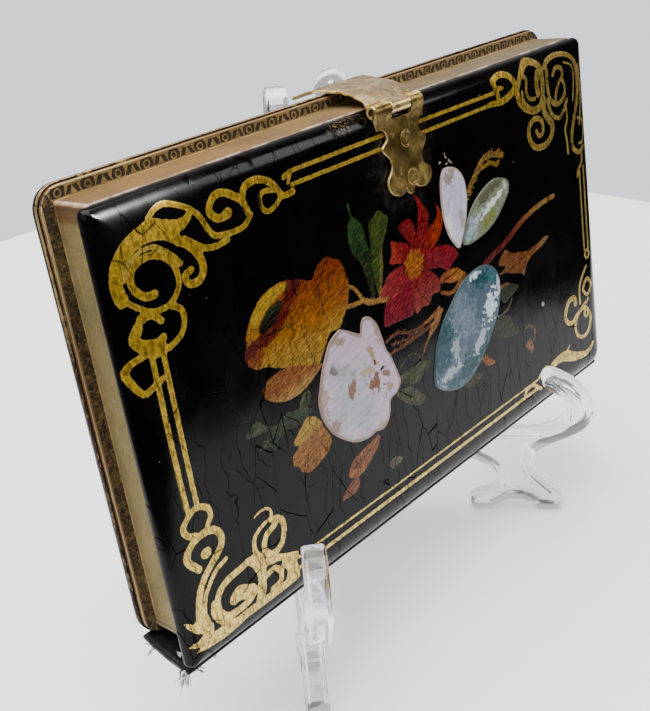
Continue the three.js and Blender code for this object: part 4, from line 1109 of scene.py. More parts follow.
# Torn film: curled whitish shreds of old varnish and glue, no thicker than paper. They hang
# where the leather of the spine has split at its left end.
def torn_film():
    random = np.random.default_rng(7)
    homes = [((-56.5, 0.9, -34.2), (-0.5, -0.35, -0.9), 2.2, 9), ((-56.6, 1.6, -34.9), (-0.9, -0.2, -0.5), 1.6, 6),
        ((-56.6, 7.9, -32.9), (-1, 0.2, -0.1), 1.5, 4), ((-54.4, 0.7, -34.6), (0.2, -0.5, -0.9), 1.1, 5),
        ((-51.6, 0.8, -34.9), (0.5, -0.5, -0.7), 0.9, 4), ((-56.8, 0.6, -31.2), (-0.3, -0.2, 0.9), 1.4, 4)]
    points, faces = [], []
    for home, way, reach, count in homes:
        for _ in range(count):
            base = Vector(home) + Vector(random.normal(0, 0.38, 3).tolist())
            base.y = max(base.y, 0.35)
            along = (Vector(way) + Vector(random.normal(0, 0.45, 3).tolist())).normalized()
            across = along.cross(Vector(random.normal(0, 1, 3).tolist())).normalized()
            bend = along.cross(across) * float(random.uniform(-0.5, 0.5))
            size, wide = reach * float(random.uniform(0.5, 1.2)), float(random.uniform(0.35, 0.8))
            first, steps = len(points), 7
            for k in range(steps + 1):
                t = k / steps
                spot = base + along * size * t + bend * size * t * t
                half = across * wide / 2 * (1 - t) ** 0.6 * (0.75 + 0.25 * math.sin(9 * t + wide * 20)) + across * 0.02
                thick = along.cross(across) * 0.03
                points += [tuple(spot - half - thick), tuple(spot + half - thick), tuple(spot + half + thick),
                    tuple(spot - half + thick)]
            faces += [tuple(first + i for i in face) for face in ring_faces(steps + 1, 4)]
    m = Shader("torn_film", 0.38)
    m.set("Base Color", m.mix(m.ramp(m.noise(1.2, 4), 0.4, 0.6), (0.60, 0.60, 0.62), (0.26, 0.25, 0.25)))
    m.set("Normal", m.bump(m.noise(2.0, 3), 0.5, 0.0001))
    piece = new_piece("torn_film", points, faces, m.material, "root", None)
    return piece


torn_film()


# Hasp: a small scalloped plate cut from brass sheet and held to the face by two rivets. Its top
# is rolled round a pin and makes the outer parts of a barrel hinge.
def loose_mesh(name, points, faces, placed=False):
    mesh = bpy.data.meshes.new(name)
    mesh.from_pydata(points if placed else to_case(points), [], faces)
    turn_outwards(mesh)
    return bpy.data.objects.new(name, mesh)


def merged_piece(name, base, added, cut, material, body, node, smooth_angle=35):
    """One solid from a base with other solids added and cut away."""
    bpy.context.scene.collection.objects.link(base)
    for k, (tool, kind) in enumerate([(a, "UNION") for a in added] + [(c, "DIFFERENCE") for c in cut]):
        bpy.context.scene.collection.objects.link(tool)
        step = base.modifiers.new(f"step_{k}", "BOOLEAN")
        step.operation, step.object, step.solver = kind, tool, "EXACT"
    graph = bpy.context.evaluated_depsgraph_get()
    mesh = bpy.data.meshes.new_from_object(base.evaluated_get(graph))
    for used in [base] + added + cut:
        bpy.data.objects.remove(used, do_unlink=True)
    mesh.name = name
    mesh.materials.clear()
    mesh.materials.append(material)
    turn_outwards(mesh)
    smooth_by_angle(mesh, smooth_angle)
    for polygon in mesh.polygons:
        if len(polygon.vertices) > 8:
            polygon.use_smooth = False
    note_place(mesh)
    piece = link(bpy.data.objects.new(name, mesh))
    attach(piece, body)
    if node:
        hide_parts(node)
    return piece


def smooth_by_angle(mesh, angle):
    form = bmesh.new()
    form.from_mesh(mesh)
    for face in form.faces:
        face.smooth = True
    for edge in form.edges:
        edge.smooth = len(edge.link_faces) == 2 and edge.calc_face_angle(0) < math.radians(angle)
    form.to_mesh(mesh)
    form.free()


def rod_rings(radius, x0, x1, y, z, bevel, sides):
    ends = [(x0, radius - bevel), (x0 + bevel, radius), (x1 - bevel, radius), (x1, radius - bevel)]
    if bevel == 0:
        ends = [ends[0], ends[-1]]
    return [[(x, y + r * math.cos(2 * math.pi * k / sides), z + r * math.sin(2 * math.pi * k / sides))
        for k in range(sides)] for x, r in ends]


ROD_SIDES = 40


def rod(name, radius, x0, x1, y, z, bevel=0):
    return loose_mesh(name, *skin(rod_rings(radius, x0, x1, y, z, bevel, ROD_SIDES)))


def block(name, x0, x1, y0, y1, z0, z1):
    rings = [[(x0, y, z0), (x1, y, z0), (x1, y, z1), (x0, y, z1)] for y in (y0, y1)]
    return loose_mesh(name, *skin(rings))


CLASP_X = -1
HASP_THICKNESS = 0.5
BARREL_RADIUS = 1.05
BARREL_BORE = 0.63
BARREL_LENGTH = 11.6
TONGUE = (0.42, 0.8)
RIVETS = ((0.6, 4.7), (1.2, 10.8))
RIVET_RADIUS = 1.4
RIVET_NECK = 0.7
plate_front = -BOARD_RISE - GAP - HASP_THICKNESS
barrel_y = plate_front + HASP_THICKNESS / 2 + GAP
barrel_z = BOARD_HEIGHT / 2 - GAP
barrel_left = CLASP_X - BARREL_LENGTH / 2
barrel_right = CLASP_X + BARREL_LENGTH / 2
tongue_left = barrel_left + TONGUE[0] * BARREL_LENGTH
tongue_right = barrel_left + TONGUE[1] * BARREL_LENGTH
hasp_top = barrel_z - BARREL_RADIUS / 2
roll_left, roll_right = barrel_left + 0.9, barrel_right + 0.7


def brass_material(name, light, dark, stain, shine):
    """Thin old brass: mottled, with darker hollows, worn bright spots, and cut edges rubbed bright and painted brighter
    still as a highlight.
    """
    m = Shader(name, 0.35, 0.8)
    color = m.mix(m.ramp(m.noise(0.2, 5, 0.65), 0.36, 0.62), light, dark)
    color = m.mix(m.ramp(m.noise(0.5, 5, 0.65), 0.5, 0.7, 0.0, 0.8), color, stain)
    color = m.mix(m.ramp(m.noise(0.9, 4), 0.56, 0.72, 0.0, 0.5), color, shine)
    color = m.mix(m.ramp(m.noise(2.4, 3), 0.62, 0.7, 0.0, 0.6), color, stain)
    # The cut edges are painted bright gold: rubbed metal, and a painted highlight where the edges catch the light.
    color = m.mix(m.attribute("edge") * m.ramp(m.noise(0.6, 3), 0.35, 0.5, 0.2, 1.0), color, (0.95, 0.70, 0.28))
    m.set("Base Color", color)
    m.set("Roughness", m.ramp(m.noise(0.45, 5, 0.6), 0.3, 0.7, 0.3, 0.55))
    dents = m.noise(0.3, 3) + m.noise(2.2, 3, 0.6, m.stretched(1, 0.3, 0.4)) * 0.1
    m.set("Normal", m.bump(dents, 0.6, 0.0005))
    return m.material


def mark_edges(mesh, flat):
    """Notes which faces are the metal's cut edges, so the material can paint them bright: rubbed metal, with a painted
    highlight along them.
    """
    flat = Vector(to_case([flat])[0]) - Vector(to_case([(0, 0, 0)])[0])
    flat.normalize()
    edge = mesh.attributes.new("edge", "FLOAT", "FACE")
    edge.data.foreach_set("value", [float(abs(polygon.normal.dot(flat)) < 0.6) for polygon in mesh.polygons])


brass = brass_material("old_brass", (0.42, 0.30, 0.08), (0.20, 0.125, 0.03), (0.085, 0.045, 0.012), (0.66, 0.52, 0.2))
strap_brass = brass_material("strap_brass", (0.46, 0.34, 0.18), (0.28, 0.19, 0.09), (0.13, 0.075, 0.035),
    (0.46, 0.36, 0.22))


def hasp_outline():
    left = [(-5.7, 32.4), (-5.6, 31.2), (-4.7, 30.2), (-3.7, 29.6), (-3.5, 28.4), (-4.8, 27.3), (-4.4, 26.4),
        (-3.5, 25.6), (-3.1, 24.5), (-3.3, 23.5), (-4.3, 22.3), (-4.4, 21), (-3.6, 19.9), (-2.2, 19.3),
        (-1, 19.4), (-0.5, 20.2), (0, 19.3), (0.8, 18.8)]
    right = [(1.4, 19.3), (1.9, 20.1), (2.7, 19.5), (4.2, 19.2), (5.6, 19.8), (6.2, 20.9), (5.8, 22.1),
        (4.7, 22.8), (4.3, 23.8), (4.6, 25), (5.6, 26.2), (5.6, 27.2), (4.5, 28), (4.2, 29), (4.6, 30), (5.4, 31),
        (5.6, 32.4)]
    curve = smooth_line(left + right, step=0.25)
    return [(x, z + hasp_top - 32.4) for x, z in curve]


def hasp_wrap(name, left_low, left_high, right_low, right_high):
    """The brass of the plate where it rises from the face and rolls over the pin."""
    low, front = hasp_top - 2.2, barrel_y - BARREL_RADIUS
    section = [(plate_front, low, 0), (plate_front - 0.1, low + 0.7, 0.3), (front + 0.35, barrel_z - 1.2, 0.7),
        (front + 0.08, barrel_z - 0.6, 0.85), (front, barrel_z, 1), (front + 0.6, barrel_z, 1),
        (plate_front + 0.4, barrel_z - 1.3, 0.7), (plate_front + 0.3, low, 0)]
    sides = ((left_low, left_high), (right_low, right_high))
    return loose_mesh(name, *skin([[(low_x + (high_x - low_x) * t, y, z) for y, z, t in section]
        for low_x, high_x in sides]))


def hasp_piece():
    plate = loose_mesh("hasp", *skin(plate_rings(hasp_outline(), plate_front, plate_front + HASP_THICKNESS, 0.12)))
    seat = block("seat", roll_left, roll_right, plate_front, plate_front + HASP_THICKNESS, hasp_top - 0.4,
        barrel_z - 0.3)
    barrel = rod("barrel", BARREL_RADIUS, roll_left, roll_right, barrel_y, barrel_z, 0.12)
    bore = rod("bore", BARREL_BORE, roll_left - 1, roll_right - 0.3, barrel_y, barrel_z)
    slot = block("slot", tongue_left - GAP, tongue_right + GAP, barrel_y - 3, barrel_y + 3,
        barrel_z - BARREL_RADIUS - 0.75, barrel_z + 3)
    wraps = [hasp_wrap("wrap_left", -5.6, roll_left, tongue_left, tongue_left),
        hasp_wrap("wrap_right", tongue_right, tongue_right, 5.5, roll_right)]
    holes = []
    for x, drop in RIVETS:
        ring = [(x + (RIVET_NECK + GAP) * math.cos(t * math.pi / 12),
            hasp_top - drop + (RIVET_NECK + GAP) * math.sin(t * math.pi / 12))
            for t in range(24)]
        holes.append(loose_mesh("hole", *skin([[(px, y, pz) for px, pz in ring]
            for y in (plate_front - 1, plate_front + 2)])))
    return merged_piece("hasp", plate, [seat, barrel] + wraps, [bore, slot] + holes, brass, "cover", "hasp_plate")


hasp = hasp_piece()
mark_edges(hasp.data, (0, -1, 0))


# Rivets: two short brass pins through the hasp and the board. Their low domed heads are
# hammered over the plate.
def rivet_piece(name, x, drop, node):
    head = plate_front - GAP / 2
    profile = [(0, -BOARD_RISE + 0.7), (RIVET_NECK, -BOARD_RISE + 0.7), (RIVET_NECK, head), (RIVET_RADIUS - 0.08, head),
        (RIVET_RADIUS, head - 0.08)]
    profile += [(1.36, head - 0.16), (1.26, head - 0.21), (1.12, head - 0.2), (1.0, head - 0.1), (0.9, head - 0.07),
        (0.72, head - 0.1), (0.5, head - 0.12), (0.25, head - 0.13), (0, head - 0.13)]
    sides = 36
    rings = [[(x + r * math.cos(2 * math.pi * k / sides), y, hasp_top - drop + r * math.sin(2 * math.pi * k / sides))
        for k in range(sides)] for r, y in profile[1:-1]]
    points, faces = skin(rings, True, False)
    points.append((x, profile[-1][1], hasp_top - drop))
    last = (len(rings) - 1) * sides
    faces += [(last + k, last + (k + 1) % sides, len(points) - 1) for k in range(sides)]
    piece = new_piece(name, points, faces, brass, "cover", node)
    smooth_by_angle(piece.data, 40)
    return piece


rivet_piece("upper_rivet", *RIVETS[0], "rivet_upper")
rivet_piece("lower_rivet", *RIVETS[1], "rivet_lower")


# Clasp pin: a thin brass wire pushed through the barrel of the hasp and the strap's eye. Its
# ends are peened over, so that it stays in.
PIN_RADIUS = 0.42
pin_rings = rod_rings(PIN_RADIUS, roll_left + 0.5, roll_right - 0.5, barrel_y, barrel_z, 0.14, 24)
clasp_pin = new_piece("hinge_pin", *skin(pin_rings), brass, "cover", "clasp_pin")
smooth_by_angle(clasp_pin.data, 50)


# Clasp strap: a thin blade of rolled brass whose eye turns on the pin. It lies over the tray and
# the back board, where it holds the case shut.
STRAP_THICKNESS = 0.5
STRAP_WIDE = 5.6
STRAP_REACH = 13.7
STRAP_WAVE = 0.55
STRAP_STATIONS = 120
strap_low = barrel_z + BARREL_RADIUS - STRAP_THICKNESS / 2
strap_high = BOARD_HEIGHT / 2 + BACK_LIFT + GAP + STRAP_THICKNESS
strap_start = barrel_y + BARREL_RADIUS + GAP
strap_end = barrel_y + STRAP_REACH


def strap_height(y):
    share = min(1, max(0, (y - strap_start) / (0.9 * STRAP_REACH)))
    droop = max(0, y - (strap_end - 1.8)) ** 2 * 0.16
    return strap_low + (strap_high - strap_low) * (0.7 * (1 - (1 - share) ** 6) + 0.3 * share) - droop


def strap_ring(y, left, right, bevel=0.14):
    z, half = strap_height(y), STRAP_THICKNESS / 2
    ring = []
    for sx, sz, start in ((1, -1, -90), (1, 1, 0), (-1, 1, 90), (-1, -1, 180)):
        for k in range(4):
            turn = math.radians(start + 30 * k)
            x = (right if sx > 0 else left) - sx * bevel + bevel * math.cos(turn)
            ring.append((x, y, z + sz * (half - bevel) + bevel * math.sin(turn)))
    return ring


def strap_sides(share):
    """Left and right edges of the strap: it leans to the right, with a nicked left edge and a thin tip."""
    middle = CLASP_X + 1 + 1.6 * share
    nick = (0.35 * math.sin(share * 21) * math.sin(share * 9.5 + 0.6)
        + 0.5 * (0.42 < share < 0.52) - 0.25 * (0.7 < share < 0.76))
    tip = 3.6 * max(0, (share - 0.9) / 0.1) ** 1.4
    left = middle - STRAP_WIDE + STRAP_WAVE * math.sin(share * 5) + nick * (1 - share) - tip
    rounding = 1.8 * max(0, share - 0.82) / 0.18
    return left, middle + STRAP_WIDE - STRAP_WAVE * math.sin(share * 4) - rounding * rounding


def strap_piece():
    shares = [k / STRAP_STATIONS for k in range(STRAP_STATIONS + 1)]
    rings = [strap_ring(strap_start + (strap_end - strap_start) * share, *strap_sides(share)) for share in shares]
    blade = loose_mesh("blade", *skin(rings))
    rings = [strap_ring(barrel_y + (strap_start + 0.5 - barrel_y) * k / 6, tongue_left, tongue_right) for k in range(7)]
    tongue = loose_mesh("tongue", *skin(rings))
    eye = rod("eye", BARREL_RADIUS, tongue_left, tongue_right, barrel_y, barrel_z, 0.1)
    bore = rod("bore", BARREL_BORE, tongue_left - 1, tongue_right + 1, barrel_y, barrel_z)
    return merged_piece("strap", blade, [tongue, eye], [bore], strap_brass, "clasp", "clasp_strap")


strap = strap_piece()
mark_edges(strap.data, (0, 0, 1))


# Shells: four pieces of mother-of-pearl let into the face, a hair proud of the lacquer. Each is
# cut to its own outline, polished, and tinted under the varnish at its edges and veins.
SHELL_PROUD = 0.25
SHELL_OUTLINES = {
    "white_petal": ((9.2, 19.6), (10.3, 20.4), (12.5, 20), (14.2, 18.8), (15.2, 16.9), (15.4, 14.3), (15, 12),
        (14.2, 9.8), (13, 7.6), (11.9, 6.2), (10.6, 7.4), (9.4, 9.3), (8.6, 12), (8.4, 14.6), (8.6, 17.6)),
    "green_petal": ((13, 6.9), (13.6, 8.2), (15.2, 10.6), (17.4, 12.6), (20, 14), (23.2, 14.9), (25.6, 14.6),
        (27.4, 13.8), (27.9, 12.6), (27.3, 11.2), (25.4, 9.4), (23.2, 7.8), (20.6, 6.7), (17.6, 6.1), (15, 5.9),
        (13.5, 6.2)),
    "blue_oval": ((14.6, 1), (17.3, 1.2), (19.8, 0.5), (21.5, -0.9), (22.4, -3), (22.2, -5.8), (21.2, -8.6),
        (19.3, -11.1), (17, -13.5), (14.3, -15.8), (11.6, -17.4), (8.8, -18.1), (6.2, -17.8), (3.4, -16.6),
        (1.6, -15.2), (1.2, -13.4), (1.7, -11.4), (2.5, -8.8), (3.9, -6.5), (5.5, -4.6), (7.6, -2.8), (9.6, -1.2),
        (12, 0.3)),
    "pink_blossom": ((-20, 3.4), (-19.2, 3.6), (-17.6, 2.8), (-16, 1.8), (-14.9, 1.3), (-14.5, 2.6), (-13.7, 3.4),
        (-12.3, 3), (-11, 1.4), (-10.3, -0.8), (-9.7, -3.2), (-8.8, -4.9), (-8.2, -6.6), (-7.4, -9),
        (-7.3, -10.2), (-8.4, -11.5), (-10.2, -12.1), (-10.7, -14), (-11.6, -15.5), (-13, -16.1), (-14.6, -15.8),
        (-16.2, -16), (-18.4, -15.7), (-20.2, -14.9), (-22, -13.6), (-23.8, -11.9), (-25, -10), (-25.8, -7.8),
        (-25.9, -5.6), (-25.2, -3.6), (-24.2, -1.2), (-22.9, 1), (-22, 2.3), (-21, 3)),
}
SHELL_SCALES = (1, 0.985, 0.965, 0.94, 0.9, 0.84, 0.76, 0.66, 0.54, 0.4, 0.24, 0.1)


def pearl_material(name, base, patches, streak, rim, rim_color):
    """Mother-of-pearl: a base colour, soft ragged patches, the whitest of them painted highlights of its sheen, fine
    streaks and a stained rim.
    """
    m = Shader(name, 0.16)
    color = base + (1,)
    for x, z, wide, high, turn, tone, strength in patches:
        color = m.mix(m.patch(x, z, wide, high, turn, 0.22, 2.1, 1.1) * strength, color, tone)
    turned = m.turned(streak)
    silk = m.noise(0.55, 4, 0.6, m.stretched(0.35, 1, 3.2, turned))
    color = m.mix(m.ramp(silk, 0.35, 0.7, 0.0, 0.32), color, m.tint(color, (1.5, 1.5, 1.5)))
    color = m.mix(m.ramp(m.noise(0.8, 3, 0.6, m.stretched(0.3, 1, 2.4, turned)), 0.5, 0.72, 0.0, 0.6), color,
        m.tint(color, (0.5, 0.56, 0.6)))
    color = m.tint(color, (0.58, 0.58, 0.58))
    edge = m.attribute("rim") + (m.noise(0.55, 4) - 0.5) * (rim * 3)
    color = m.mix(m.ramp(edge, 1 - rim, 1 - rim * 0.3, 0.0, 0.75), color, rim_color)
    pits = m.ramp(m.noise(2.1, 2), 0.72, 0.78)
    color = m.mix(pits * 0.6, color, (0.12, 0.1, 0.09))
    m.set("Base Color", color)
    m.set("Roughness", m.ramp(m.noise(0.7, 4), 0.35, 0.7, 0.12, 0.3))
    m.set("Specular IOR Level", 0.2)
    m.set("Normal", m.bump(m.noise(0.28, 3) + silk * 0.12, 0.5, 0.0002))
    return m.material


# PEARL_HIGHLIGHT and the other whitest patches below are painted highlights of the pearl's sheen.
COPPER, DEEP_TEAL, PEARL_HIGHLIGHT = (0.34, 0.14, 0.07), (0.02, 0.10, 0.125), (1.1, 1.3, 1.4)
SHELL_LOOKS = {
    "white_petal": ((1.05, 1.0, 1.2), ((10.9, 18.6, 1.7, 1.1, 0.2, (0.40, 0.29, 0.17), 0.8),
        # The white patch at the petal's lower left is a painted highlight.
        (9.6, 10.2, 1.0, 2.8, 0.35, (1.4, 1.4, 1.4), 0.9), (12.6, 13.6, 1.5, 4, 0, (0.86, 0.86, 1.06), 0.8),
        (13.7, 9.8, 0.6, 2.6, 0.25, (0.5, 0.4, 0.3), 0.6)), 1.5, 0.05, (0.4, 0.28, 0.18)),
    "green_petal": ((0.34, 0.38, 0.25), ((15.2, 8.2, 2.6, 1.6, 0.7, (0.48, 0.66, 0.72), 0.9),
        (22, 13.4, 4.5, 0.9, 0.3, (0.15, 0.15, 0.085), 0.9), (21.2, 8.6, 2.2, 1.0, 0.5, (0.3, 0.33, 0.08), 0.9),
        # The pale streak along the middle of the green petal is a painted highlight on its crest.
        (22.6, 11.2, 4.6, 0.5, 0.42, (1.2, 1.25, 1.15), 1), (26.8, 12.8, 0.8, 1.2, 0, (0.82, 0.84, 0.78), 0.9),
        (18, 9.8, 2.6, 0.6, 0.5, (0.72, 0.84, 0.86), 0.8)), -0.42, 0.12, (0.12, 0.13, 0.09)),
    "blue_oval": ((0.13, 0.20, 0.26), ((17.5, -1.0, 3.6, 1.5, -0.35, DEEP_TEAL, 1),
        (4.2, -8.4, 3.0, 5.6, -0.35, DEEP_TEAL, 1), (9.4, -4.4, 1.8, 3.0, -0.6, (0.04, 0.14, 0.17), 0.9),
        (12.6, -14.2, 5.0, 2.0, 0.5, DEEP_TEAL, 1), (20.6, -1.8, 1.6, 1.6, 0, (0.06, 0.2, 0.24), 1),
        # The ice-white spots at the oval's top and right are painted highlights.
        (15, 0.2, 1.3, 0.6, 0.1, PEARL_HIGHLIGHT, 1), (21.8, -3.6, 0.5, 1.9, -0.1, (0.8, 0.86, 0.95), 1),
        (18.9, -6.9, 1.5, 3.0, -0.45, PEARL_HIGHLIGHT, 1), (15.2, -11.4, 2.6, 1, 0.75, (0.66, 0.78, 0.82), 0.9),
        (5.4, -14.4, 2.6, 0.9, 0.1, (0.6, 0.72, 0.74), 0.9), (3, -16, 1.6, 0.5, -0.5, (0.66, 0.74, 0.76), 0.8),
        (6.2, -16.4, 2, 0.7, -0.2, (0.05, 0.15, 0.18), 0.9), (8.4, -15.6, 1.6, 0.7, 0.2, DEEP_TEAL, 0.9),
        (10.8, -5.4, 3.0, 4.4, 0.3, (0.28, 0.36, 0.44), 0.8), (8, -10.6, 1, 2.4, 0, (0.58, 0.72, 0.76), 0.7)),
        1.15, 0.045, (0.05, 0.08, 0.08)),
    "pink_blossom": ((0.92, 0.74, 0.90), ((-19, -9.5, 5.4, 5.2, 0, (0.66, 0.72, 0.74), 0.9),
        (-20.4, -2.4, 2.2, 1.0, -0.4, (0.52, 0.54, 0.60), 0.8), (-22.3, -2, 1, 0.5, -0.5, (0.2, 0.2, 0.14), 0.8),
        (-13.4, -7.4, 1.5, 1.3, -0.6, COPPER, 1), (-18.4, -6.6, 0.9, 1.5, 0, COPPER, 0.9),
        (-13.2, -3, 0.6, 2.2, 0.35, (0.62, 0.42, 0.22), 0.95),
        (-15, -5.3, 2.6, 0.5, -0.1, (0.66, 0.5, 0.28), 0.9), (-10.6, -7.2, 1.1, 0.5, -0.4, COPPER, 0.9),
        (-20.2, 2.2, 1.5, 0.8, -0.5, (0.5, 0.42, 0.2), 0.85), (-24.6, -6, 0.9, 2.2, 0, (0.56, 0.42, 0.22), 0.7),
        (-13.2, -15.3, 1.8, 0.7, 0, (0.6, 0.46, 0.3), 0.9), (-23.6, -11, 1.2, 1.0, 0.6, (0.5, 0.28, 0.24), 0.8),
        (-11.4, 0.4, 0.5, 2.2, 0.3, (0.6, 0.42, 0.26), 0.8), (-10.3, -9.9, 0.9, 0.6, 0.2, (0.52, 0.3, 0.18), 0.8),
        (-11.1, -6.1, 0.7, 0.35, 0, (0.03, 0.025, 0.02), 1), (-12.8, -4.5, 0.3, 0.5, 0, (0.03, 0.025, 0.02), 1),
        (-18.4, -13, 0.9, 0.3, 0.5, (0.42, 0.4, 0.42), 0.7)), 0.3, 0.06, (0.26, 0.15, 0.09)),
}


def shell_piece(name, outline, material):
    outline = [tuple(p) for p in smooth_line(outline, True, 0.22)[:-1]]
    center = np.array(outline).mean(0)
    front, back = -BOARD_RISE - SHELL_PROUD, -BOARD_RISE + 0.3
    rings, rims = [[(x, back, z) for x, z in outline]], [1.0]
    for lift, inset in ((0.14, 0.0), (0.05, 0.05), (0, 0.16)):
        rings.append([(x, front + lift, z) for x, z in inset_outline(outline, inset)])
        rims.append(1.0)
    flat = np.array(inset_outline(outline, 0.16))
    for scale in SHELL_SCALES[1:]:
        points = center + (flat - center) * scale
        dip = 0.05 * np.sin(points[:, 0] * 0.9 + 0.4) * np.sin(points[:, 1] * 0.75) * (1 - scale) ** 0.5
        rings.append([(x, front + d, z) for (x, z), d in zip(points, np.abs(dip))])
        rims.append(scale)
    piece = new_piece("pearl_" + name, *skin(rings), material, "cover", "shell_" + name)
    rim = piece.data.attributes.new("rim", "FLOAT", "POINT")
    rim.data.foreach_set("value", np.repeat(np.array(rims, np.float32), len(outline)))
    smooth_by_angle(piece.data, 40)
    return piece


for name, outline in SHELL_OUTLINES.items():
    shell_piece(name, outline, pearl_material("pearl_" + name, *SHELL_LOOKS[name]))


# Easel: two moulded plates of clear plastic that hinge on an upright pin behind the case. Each has
# a hooked lip in front, a ledge, a tall arm behind, an arched foot, and a rounded rim that stands
# round a sunk field on both faces.
EASEL_THICKNESS = 3.6
EASEL_SPREAD = math.radians(40)
EASEL_HINGE = (-2.3, 28.7)
FOOT_FRONT, FOOT_REAR, FOOT_ARCH = 56.4, 38.2, 2.6
LEDGE, LIP_HEIGHT, LIP_REACH, WAIST = 18.6, 31.6, 60.2, 49.2
ARM_TOP, ARM_WIDTH = 88, 5.6
REAR_TOP, REAR_FOOT = 34, 12
KNUCKLE, EASEL_PIN, KNUCKLES = 3, 1.3, 4
HOLE_ROOM, REST_GAP = 0.3, 0.3
EASEL_BEVEL = 0.5
EASEL_RIM, EASEL_SUNK, EASEL_SLOPE, SLOPE_STEPS = 1.75, 0.8, 0.9, 6
case_middle = case_origin.z * 1000
clear_look = Shader("clear_plastic", 0.02)
for socket, value in (("Base Color", (0.92, 0.91, 0.96)), ("Transmission Weight", 1), ("IOR", 1.49), ("Alpha", 0.84)):
    clear_look.set(socket, value)
clear_look.set("Normal", clear_look.bump(clear_look.noise(1.3, 3), 0.15, 0.00003))
clear_plastic = clear_look.material


def trace(start, *runs, steps=8):
    """A closed outline from straight, one-handle and two-handle runs."""
    points = [Vector(start)]
    for run in runs:
        a, ends = points[-1], [Vector(p) for p in run]
        if len(ends) == 1:
            points.append(ends[0])
            continue
        for k in range(1, steps + 1):
            t = k / steps
            if len(ends) == 2:
                points.append(a * (1 - t) ** 2 + ends[0] * 2 * t * (1 - t) + ends[1] * t * t)
            else:
                points.append(a * (1 - t) ** 3 + ends[0] * 3 * t * (1 - t) ** 2
                    + ends[1] * 3 * t * t * (1 - t) + ends[2] * t ** 3)
    clean = [p for k, p in enumerate(points) if (p - points[k - 1]).length > 1e-4]
    return [tuple(p) for p in clean]


def arm_at(v):
    behind = (back_front + BACK_EDGE + BOARD_RISE) / math.cos(LEAN) + (v - case_middle) * math.tan(LEAN)
    return (EASEL_HINGE[1] - behind - REST_GAP) / math.cos(EASEL_SPREAD) - EASEL_THICKNESS / 2 * math.tan(EASEL_SPREAD)


def easel_outline():
    hub = KNUCKLE + HOLE_ROOM
    tip_v = ARM_TOP - ARM_WIDTH / 2
    tip_u = arm_at(tip_v) - ARM_WIDTH / 2
    tip = [((tip_u + ARM_WIDTH / 2 * math.cos(k * math.pi / 12), tip_v + ARM_WIDTH / 2 * math.sin(k * math.pi / 12)),)
        for k in range(1, 13)]
    lip, foot, rear = LIP_REACH, FOOT_FRONT, FOOT_REAR
    return trace(
        (foot - 1, 0),
        ((foot + 0.4, 1.6), (foot - 0.6, 3.6)),
        ((foot - 2.4, 5.4), (WAIST + 2.6, 7.4)),
        ((WAIST - 1, 10.6), (WAIST + 0.4, 13.6)),
        ((WAIST + 3, 16.8), (lip - 1.6, 17.4), (lip - 0.4, 21.6)),
        ((lip + 1, 26.4), (lip - 4.4, LIP_HEIGHT - 1.8), (lip - 8, LIP_HEIGHT - 0.2)),
        ((lip - 10.4, LIP_HEIGHT + 0.6), (lip - 11.6, LIP_HEIGHT - 2.4), (lip - 9.6, LIP_HEIGHT - 3.4)),
        ((lip - 5, LIP_HEIGHT - 5.6), (lip - 4.6, LEDGE + 1.8), (lip - 8, LEDGE + 0.9)),
        ((lip - 10.4, LEDGE), (lip - 14, LEDGE)),
        ((arm_at(LEDGE) + 2.4, LEDGE),),
        ((arm_at(LEDGE + 1), LEDGE), (arm_at(LEDGE + 2.4), LEDGE + 2.4)),
        ((arm_at(tip_v), tip_v),),
        *tip,
        ((arm_at(REAR_TOP + 14) - ARM_WIDTH * 1.3, REAR_TOP + 14),),
        ((arm_at(REAR_TOP) - ARM_WIDTH * 1.9, REAR_TOP), (hub, REAR_TOP)),
        ((hub, 0),),
        ((REAR_FOOT, 0),),
        ((REAR_FOOT + 1, 3.4), (REAR_FOOT + 4, 6.6)),
        ((REAR_FOOT + 9, 12.6), (rear - 4, 15.4), (rear + 2.4, 10.6)),
        ((rear + 7, 6.4), (rear + 3.2, 3.6)),
        ((rear - 1, 2.8), (rear, 0.8)),
        ((rear + 0.4, 0), (rear + 1.6, 0)),
        ((rear + 4, 0),),
        ((rear + 7, FOOT_ARCH * 1.3), (foot - 8, FOOT_ARCH * 1.3), (foot - 5, 0)),
        steps=14,
    )


def to_easel(points, side):
    """Points of reach, height and thickness in one plate's own plane, put in their place in the scene."""
    reach = Vector((side * math.sin(EASEL_SPREAD), -math.cos(EASEL_SPREAD), 0))
    across = Vector((math.cos(EASEL_SPREAD), side * math.sin(EASEL_SPREAD), 0))
    hinge = Vector((EASEL_HINGE[0] / 1000 + case_origin.x, EASEL_HINGE[1] / 1000 + case_origin.y, 0))
    return [hinge + reach * (u / 1000) + across * (t / 1000) + Vector((0, 0, v / 1000)) for u, v, t in points]


def upright(name, radius, low, high, side, bevel):
    sides = 48
    levels = [(low, radius - bevel), (low + bevel, radius), (high - bevel, radius), (high, radius - bevel)]
    levels = levels if bevel else [(low, radius), (high, radius)]
    points = [(r * math.cos(2 * math.pi * k / sides), v, r * math.sin(2 * math.pi * k / sides))
        for v, r in levels for k in range(sides)]
    return loose_mesh(name, to_easel(points, side), ring_faces(len(levels), sides), True)


